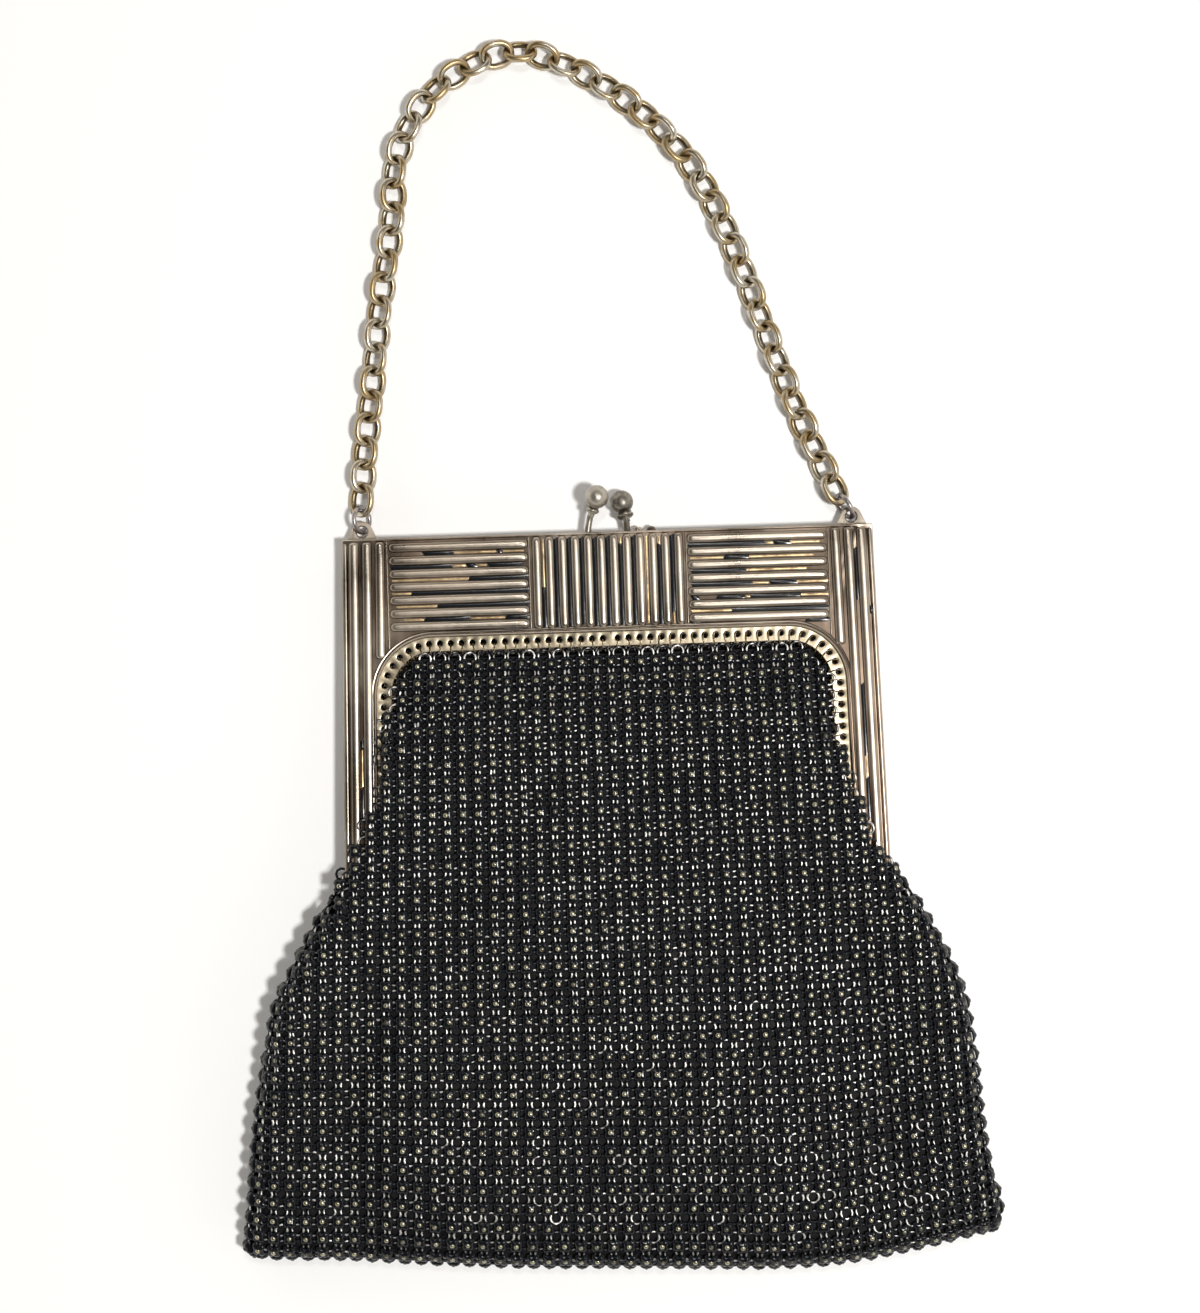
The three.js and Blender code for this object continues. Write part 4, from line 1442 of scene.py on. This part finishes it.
def bag_section(down, turn, face):
    """Points across one face of the bag in one row, with their distance along it from the middle.
    Turn is how far the row has gone round the bottom fold."""
    sizes = settings().mesh
    left, right, front, lift, sag, fold = (
        eased(BAG_ROWS[:, 0], BAG_ROWS[:, column], down) for column in range(1, 7)
    )
    low = lift * sizes.depth
    high = front * sizes.depth
    middle, rise = (low + high) / 2, (high - low) / 2
    edge = sizes.edge
    turns = np.linspace(0, 2.6, 40)
    row_y = mouth_y() - down * sizes.length
    # Over the legs the mesh lies flat right out to its edge
    round_share = float(smooth((-row_y - 86 * MM) / (14 * MM))) if face > 0 else 1.0
    halves = []
    for width in (left * sizes.half_width, right * sizes.half_width):
        inner = width - edge - 0.9 * sizes.fold_radius * (1 - math.cos(turn))
        flat = np.linspace(0, inner, 80)
        dent = np.interp(flat / inner, *FOLD_PLACES) * fold * sizes.fold
        flat_z = np.full_like(flat, rise) - (dent if face > 0 else 0)
        x = np.concatenate([flat, inner + edge * np.sin(turns[1:])])
        z = np.concatenate([flat_z, rise * np.cos(turns[1:])])
        steps = np.concatenate([[0], np.cumsum(np.hypot(np.diff(x), np.diff(z) * round_share))])
        end = steps[len(flat) - 1 + np.searchsorted(turns[1:], math.pi / 2)]
        if face < 0:
            # Over the legs and just below them the back stays hidden behind the front
            end -= 3.2 * MM * float(smooth((row_y + 96 * MM) / (10 * MM)))
        halves.append((x, z, steps, end))
    (lx, lz, ls, left_end), (rx, rz, rs, right_end) = halves
    x = np.concatenate([-lx[::-1], rx[1:]])
    z = middle + face * np.concatenate([lz[::-1], rz[1:]]) * math.cos(turn)
    steps = np.concatenate([-ls[::-1], rs[1:]])
    hang = sizes.sag * np.clip(1 - (x / sizes.half_width) ** 2, 0, None)
    for place, width, drop in LOW_SPOTS:
        hang += drop * MM * np.exp(-(((x / MM - place) / width) ** 2))
    y = row_y - sag * hang - sizes.fold_radius * math.sin(turn)
    return x, y, z, steps, left_end, right_end


def bag_rows():
    """Share down the bag and turn round the bottom fold, at half steps of the mesh's rows."""
    sizes = settings().mesh
    start = 0.3 * sizes.row_top
    straight = sizes.length - sizes.fold_radius
    arc = math.pi / 2 * sizes.fold_radius * 1.2
    places = [start]
    while places[-1] < straight + arc:
        done = min(places[-1] / sizes.length, 1)
        pitch = sizes.row_top + (sizes.row_low - sizes.row_top) * done
        places.append(places[-1] + pitch / 2 / (1 + sizes.sag / sizes.length * 0.8))
    if len(places) % 2:
        places.pop()
    places = np.array(places)
    places = start + (places - start) * (straight + arc - start) / (places[-1] - start)
    places = np.append(places, 2 * places[-1] - places[-2])
    down = np.minimum(places, straight) / sizes.length
    turn = np.clip(places - straight, 0, None) / arc * math.pi / 2
    return down, turn


def bag_skin(face):
    """The bag's skin at half steps of the mesh: the units' feet and axes, and which are used."""
    sizes = settings().mesh
    downs, turns = bag_rows()
    columns = np.arange(-COLUMNS, COLUMNS + 1)
    points = np.zeros((len(downs), len(columns), 3))
    on_bag = np.zeros((len(downs), len(columns)), bool)
    from_edge = np.zeros((len(downs), len(columns)))
    for row, (down, turn) in enumerate(zip(downs, turns)):
        x, y, z, steps, left_end, right_end = bag_section(down, turn, face)
        pitch = sizes.pitch_top + (sizes.pitch_low - sizes.pitch_top) * down
        at = columns * pitch / 2
        for axis, values in enumerate((x, y, z)):
            points[row, :, axis] = np.interp(at, steps, values)
        on_bag[row] = (at > -left_end - 0.15 * pitch) & (at < right_end + 0.15 * pitch)
        from_edge[row] = np.where(at < 0, left_end, right_end) - np.abs(at)
    on_bag[turns > math.pi / 2 + 0.01] = False
    x, y, z = points[..., 0], points[..., 1], points[..., 2]
    if face > 0:
        waves = sum(
            height * np.sin(x / MM * across + y / MM * down + phase)
            for across, down, phase, height in WAVES
        )
        calm = smooth((-y - 40 * MM) / (25 * MM)) * smooth((z - 6 * MM) / (4 * MM))
        z += WAVE_HEIGHT * MM * waves * calm * np.cos(turns)[:, None]
    lean = math.tan(tilt())
    depth = settings().frame.depth
    inside = inside_arch(x, y)
    rim_top = rim_height()
    # Near the rim the mesh lies at the rim's height, down to where it is laced
    held = smooth((y + np.where(x < 0, 50, 58) * MM) / (12 * MM))
    near = (1 - smooth((inside - 1.5 * MM) / (9 * MM))) * held
    rim_z = (rim_top + 0.9 * MM if face > 0 else depth - rim_top - 0.4 * MM) - y * lean
    z += near * (rim_z - z)
    # The front lies over the legs, and the back under them
    over = smooth((y + 104 * MM) / (16 * MM)) * smooth((2.5 * MM - inside) / (2.5 * MM))
    # Below the legs the mesh curls down along its edge
    over *= 1 - smooth((-y - 84 * MM) / (7 * MM)) * (1 - smooth(from_edge / (7 * MM)))
    if face > 0:
        rise = smooth(-(inside + 2.5 * MM) / (1.5 * MM))
        least = rim_top + (depth - rim_top) * rise - y * lean + 1.3 * MM
        z += over * np.clip(least - z, 0, None)
    else:
        most = np.maximum(-y * lean - 0.9 * MM, 0.2 * MM)
        z -= over * np.clip(z - most, 0, None)
        z += 0.44 * MM
    on_bag &= (inside > 0.75 * MM) | (np.abs(x) < covered(x, y))
    across = np.gradient(points, axis=1) * face
    along = -np.gradient(points, axis=0)
    outward = np.cross(across, along)
    outward /= np.linalg.norm(outward, axis=-1, keepdims=True) + 1e-12
    across /= np.linalg.norm(across, axis=-1, keepdims=True) + 1e-12
    if face > 0:
        # Over the legs nothing looks sideways
        on_bag &= (outward[..., 2] > 0.5) | (y < -91 * MM)
    up = np.cross(outward, across)
    feet = points - outward * sizes.skin
    return feet, np.stack([across, up, outward], axis=-2), on_bag


def chosen(mask, first_row, first_column):
    """Every second place of the skin in both directions."""
    pick = np.zeros_like(mask)
    pick[first_row::2, first_column::2] = True
    return pick & mask


def jittered(places, axes, rng, shift, lean):
    """Places and axes with small irregularities."""
    moves = rng.normal(0, shift, (len(places), 3)) * (1, 1, 0.3)
    places = places + np.einsum("mk,mkj->mj", moves, axes)
    tip = rng.normal(0, lean, (len(places), 2))
    outward = axes[:, 2] + tip[:, :1] * axes[:, 0] + tip[:, 1:] * axes[:, 1]
    outward /= np.linalg.norm(outward, axis=1, keepdims=True)
    across = axes[:, 0] - outward * np.sum(axes[:, 0] * outward, axis=1, keepdims=True)
    across /= np.linalg.norm(across, axis=1, keepdims=True)
    return places, np.stack([across, np.cross(outward, across), outward], axis=1)


def looks_sideways(axes):
    """How far the units look sideways, as they do on the folds."""
    return smooth((0.8 - np.abs(axes[:, 2, 2])) / 0.4)


def plate_unit():
    """A domed plate with four arms that curl over the rings around it, open under its centre."""
    lean = 48
    rings = (
        # radius, height and half angle of an arm, then radius and height of the waist between arms
        (0.64, 1.12, 16, 0.64, 1.12),
        (1.05, 1.06, 23, 1.02, 1.0),
        (1.5, 0.93, 27, 1.26, 0.70),
        (1.92, 0.66, 21, 1.32, 0.32),
        (2.14, 0.10, 12, 1.2, -0.05),
    )
    rows = []
    for radius, height, half, waist_radius, waist_height in rings:
        row = []
        for quarter in range(4):
            middle = quarter * 90 + (lean if quarter % 2 == 0 else 90 - lean)
            row.append((quarter * 90, waist_radius, waist_height))
            row.append((middle - half, radius, height - 0.05))
            row.append((middle, radius * 1.02, height + 0.03))
            row.append((middle + half, radius, height - 0.05))
        angle, reach, rise = np.array(row).T
        angle = np.radians(angle)
        rows.append(np.stack([reach * np.cos(angle), reach * np.sin(angle), rise], axis=-1))
    faces = grid(len(rings), 16, round_columns=True)
    return np.concatenate(rows) * MM, [face[::-1] for face in faces]


def centre_unit(sides):
    """The raised centre of a plate."""
    profile = ((0.70, 0.98), (0.6, 1.15), (0.44, 1.29), (0.2, 1.36), (0.0, 1.37))
    points, faces = revolved(np.array(profile) * MM, sides)
    top = len(points) - sides
    faces = [tuple(min(corner, top) for corner in face) for face in faces]
    faces = [tuple(dict.fromkeys(face)) for face in faces]
    rubbed = np.repeat((-0.9, -0.45, 0.0, 0.2, 0.25), sides)
    return points[: top + 1], [face for face in faces if len(face) > 2], rubbed[: top + 1]


def ring_unit(steps, sides):
    """A ring of slightly flattened wire, its bare top partly rubbed and partly painted highlight.
    """
    sizes = settings().mesh
    turns = np.arange(steps) * 2 * math.pi / steps
    around = math.pi / 2 + np.arange(sides) * 2 * math.pi / sides
    wide, high = sizes.ring_wire * 0.55, sizes.ring_wire * 0.42
    radius = sizes.ring_radius + wide * np.cos(around)
    points = np.stack(
        [
            np.outer(np.cos(turns), radius),
            np.outer(np.sin(turns), radius),
            np.tile(high * (1 + np.sin(around)), (steps, 1)),
        ],
        axis=-1,
    )
    # Bare pale metal on the wire's top, most at left and right, less at the ends, least between:
    # partly rubbed by the neighbours, partly painted highlight where the two lamps glint
    rub_and_glint = 0.1 + 1.05 * np.cos(turns) ** 6 + 0.6 * np.sin(turns) ** 8
    rubbed = np.outer(rub_and_glint, np.clip(np.sin(around) * 1.15, 0, 1) ** 2).reshape(-1)
    return points.reshape(-1, 3), grid(steps, sides, True, True), rubbed


def add_inner_face(piece, feet, axes, on_bag):
    """The closed inner face, near-black painted shade seen between plates and rings."""
    inner = feet - axes[:, :, 2] * settings().mesh.shade_sheet
    inner[..., 2] = np.maximum(inner[..., 2], 0.3 * MM)
    wide = on_bag.copy()
    # Below the legs it goes one step further out on both sides
    low = feet[:, 1:, 1] < -108 * MM
    wide[:, 1:] |= on_bag[:, :-1] & low
    wide[:, :-1] |= on_bag[:, 1:] & low
    faces = [f for f in grid(*on_bag.shape) if all(wide.flat[c] for c in f)]
    used = sorted({corner for f in faces for corner in f})
    renumbered = {old: new for new, old in enumerate(used)}
    faces = [tuple(renumbered[corner] for corner in f) for f in faces]
    piece.add(inner.reshape(-1, 3)[used], faces)


def make_units(name, finish, unit, faces, places, axes, **wear):
    """One piece of many copies of a unit of the mesh."""
    piece = Piece()
    piece.add_copies(unit, faces, places, axes, **wear)
    piece.make(name, [finish], "mesh_enamel", matrix=on_table(), sharp=0)


class PURSE_OT_mesh_bag(bpy.types.Operator):
    """The bag of armour mesh: closed inner face of painted shade, plates, raised centres, rings"""

    bl_idname = "purse.mesh_bag"
    bl_label = "Mesh bag"

    def execute(self, context):
        rng = np.random.default_rng(settings().mesh.seed)
        # A near-black sheet of painted shade behind the plates and rings
        shade_sheet = Piece()
        for face, word in ((1, "front"), (-1, "back")):
            feet, axes, on_bag = bag_skin(face)
            add_inner_face(shade_sheet, feet, axes, on_bag)
            plates = chosen(on_bag, 1, 0)
            rings = chosen(on_bag, 0, 1)
            if face < 0:
                plates[-2] = False
            places, turned = jittered(feet[plates], axes[plates], rng, 0.09 * MM, 0.07)
            # On the folds plates stand out further, and their centres are made darker
            sideways = looks_sideways(turned)
            stretch = 1 + sideways[:, None] * np.array((-0.02, 0, 0.38))
            turned = turned * stretch[:, :, None]
            enamel = material("plate_enamel", plate_enamel)
            make_units("plates_" + word, enamel, *plate_unit(), places, turned)
            wear = rng.uniform(0.05, 0.95, len(places)) - 1.2 * sideways
            unit, faces, rubbed = centre_unit(10 if face > 0 else 6)
            brass = material("worn_centre", worn_centre)
            make_units(
                "centres_" + word, brass, unit, faces, places, turned, wear=wear, unit_wear=rubbed
            )
            places, turned = jittered(feet[rings], axes[rings], rng, 0.07 * MM, 0.05)
            unit, faces, rubbed = ring_unit(*((12, 5) if face > 0 else (9, 4)))
            # On the folds the rings stay black: painted shade that holds back their highlights
            # there
            wear = rng.uniform(-0.5, 0.1, len(places)) - 0.5 * looks_sideways(turned)
            wire = material("ring_wire", ring_wire)
            make_units(
                "rings_" + word, wire, unit, faces, places, turned, wear=wear, unit_wear=rubbed
            )
        shade_sheet.make(
            "bag_inner_face",
            [material("painted_shade_sheet", painted_shade_sheet)],
            "mesh_enamel",
            replaces=("mesh_bag",),
            matrix=on_table(),
            sharp=0,
        )
        return {"FINISHED"}


class PURSE_OT_lacing(bpy.types.Operator):
    """The fine wire that laces the mesh to the holes of both rims"""

    bl_idname = "purse.lacing"
    bl_label = "Lacing wire"

    def execute(self, context):
        sizes = settings().frame
        rng = np.random.default_rng(3)
        line = hole_line()
        top = rim_height()
        reach = sizes.moulding + sizes.rim + 0.9 * MM - line
        path = []
        shapes = {
            # along as a share of the pitch, inwards as a share of the reach, height in millimetres
            "straight": (
                (0.0, 0.08, -0.9),
                (0.0, 0.1, -0.1),
                (0.0, 0.2, 0.2),
                (0.02, 0.45, 0.34),
                (0.04, 0.75, 0.3),
                (0.06, 1.0, 0.05),
                (0.1, 1.1, -0.4),
                (0.25, 0.95, -0.85),
                (0.55, 0.5, -1.05),
                (0.85, 0.15, -1.05),
            ),
            "hooked": (
                (0.1, -0.1, -0.9),
                (0.1, -0.14, -0.05),
                (0.04, -0.26, 0.26),
                (-0.1, -0.2, 0.36),
                (-0.19, 0.02, 0.36),
                (-0.2, 0.3, 0.36),
                (-0.15, 0.7, 0.32),
                (-0.1, 1.0, 0.05),
                (0.0, 1.1, -0.4),
                (0.4, 0.6, -1.0),
                (0.8, 0.1, -1.05),
            ),
        }
        for place in hole_places():
            sway = rng.normal(0, 0.1)
            for along, inwards, height in shapes["hooked" if place > 12 * MM else "straight"]:
                at = place + (along + sway * max(inwards, 0) * (1 - along)) * sizes.hole_pitch
                x, y = arch_at(np.array([at]), line, line + inwards * reach)
                path.append((x[0], y[0], top + height * MM))
        points, faces = tube(path, sizes.lacing_wire / 2, 6)
        front = Piece()
        front.add(points, faces, 0.2)
        wire = [material("aged_brass", aged_brass)]
        front.make("lacing_front", wire, "frame_silver", matrix=on_frame(), sharp=0)
        back = front.turned(turned_over())
        back.make("lacing_back", wire, "frame_silver", matrix=on_frame(), sharp=0)
        return {"FINISHED"}


# Stage

# The camera looks straight down: its turn in degrees, its height, the height of the view at the
# purse's middle and its aim from the frame's top edge, in metres
CAMERA_TURN = 1.83
CAMERA_HEIGHT = 0.62
PURSE_MIDDLE = 0.008
VIEW_HEIGHT = 0.32825
VIEW_AIM = (-0.00274, -0.03093, 0)
SENSOR_WIDTH = 36
TABLE_HALF = 1.6
# Height in the studio's sky and its brightness there, and the sky's warm tint
SKY = ((0.2, 1.56), (0.66, 0.03))
SKY_TINT = (1, 0.965, 0.905)
# Name, place, size, watts and tint of each lamp
LAMPS = (
    ("key", (0.46, -0.18, 1.3), 0.18, 15.0, (1, 0.985, 0.965)),
    ("top_light", (0.05, 0.5, 1.3), 0.16, 2.5, (1, 0.97, 0.93)),
)


class PURSE_OT_stage(bpy.types.Operator):
    """The pale table, the soft studio light and the camera above"""

    bl_idname = "purse.stage"
    bl_label = "Stage"

    def execute(self, context):
        scene = context.scene
        mesh = bpy.data.meshes.new("table_top")
        steps = np.linspace(-TABLE_HALF, TABLE_HALF, 9)
        points = [(x, y, 0) for y in steps for x in steps]
        mesh.from_pydata(points, [], grid(9, 9))
        mesh.materials.append(material("pale_table", pale_table))
        table = bpy.data.objects.new("table_top", mesh)
        scene.collection.objects.link(table)

        world = bpy.data.worlds.new("studio")
        world.use_nodes = True
        nodes, links = world.node_tree.nodes, world.node_tree.links
        background = nodes["Background"]
        where = nodes.new("ShaderNodeTexCoord").outputs["Generated"]
        height = nodes.new("ShaderNodeSeparateXYZ")
        links.new(where, height.inputs["Vector"])
        ramp = nodes.new("ShaderNodeValToRGB")
        ramp.color_ramp.interpolation = "EASE"
        for stop, (place, value) in zip(ramp.color_ramp.elements, SKY):
            stop.position = place
            stop.color = (*(value * tint for tint in SKY_TINT), 1)
        links.new(height.outputs["Z"], ramp.inputs["Fac"])
        links.new(ramp.outputs["Color"], background.inputs["Color"])
        background.inputs["Strength"].default_value = 1.0
        scene.world = world
        scene.view_settings.view_transform = "Standard"

        for name, place, size, power, tint in LAMPS:
            light = bpy.data.lights.new(name, "AREA")
            light.shape = "DISK"
            light.size = size
            light.energy = power
            light.color = tint
            lamp = bpy.data.objects.new(name, light)
            lamp.location = place
            lamp.rotation_euler = (-Vector(place)).to_track_quat("-Z", "Y").to_euler()
            scene.collection.objects.link(lamp)

        camera_data = bpy.data.cameras.new("camera")
        camera_data.sensor_fit = "AUTO"
        camera_data.sensor_width = SENSOR_WIDTH
        camera_data.lens = SENSOR_WIDTH * (CAMERA_HEIGHT - PURSE_MIDDLE) / VIEW_HEIGHT
        camera = bpy.data.objects.new("camera", camera_data)
        target = purse_origin() + Vector(VIEW_AIM)
        camera.location = (target.x, target.y, CAMERA_HEIGHT)
        camera.rotation_euler = (0, 0, -math.radians(CAMERA_TURN))
        scene.collection.objects.link(camera)
        scene.camera = camera
        return {"FINISHED"}


# Panel and order of work

PIECES = (
    PURSE_OT_stage,
    PURSE_OT_frame,
    PURSE_OT_clasp,
    PURSE_OT_rings,
    PURSE_OT_chain,
    PURSE_OT_mesh_bag,
    PURSE_OT_lacing,
)


class PURSE_PT_pieces(bpy.types.Panel):
    """The purse's pieces and sizes in the sidebar"""

    bl_idname = "PURSE_PT_pieces"
    bl_label = "Mesh purse"
    bl_space_type = "VIEW_3D"
    bl_region_type = "UI"
    bl_category = "Purse"

    def draw(self, context):
        layout = self.layout
        for piece in PIECES:
            layout.operator(piece.bl_idname)
        purse = context.scene.purse
        for group in (purse.frame, purse.handle, purse.mesh, purse.colours):
            box = layout.box()
            for name in group.__annotations__:
                box.prop(group, name)


CLASSES = (
    PurseFrameSizes,
    PurseHandleSizes,
    PurseMeshSizes,
    PurseColours,
    PurseSettings,
    *PIECES,
    PURSE_PT_pieces,
)


def register():
    for made in CLASSES:
        bpy.utils.register_class(made)
    bpy.types.Scene.purse = PointerProperty(type=PurseSettings)


def unregister():
    del bpy.types.Scene.purse
    for made in reversed(CLASSES):
        bpy.utils.unregister_class(made)


def main():
    register()
    bpy.ops.purse.stage()
    bpy.ops.purse.frame()
    bpy.ops.purse.clasp()
    bpy.ops.purse.rings()
    bpy.ops.purse.chain()
    bpy.ops.purse.mesh_bag()
    bpy.ops.purse.lacing()


if __name__ == "__main__":
    main()
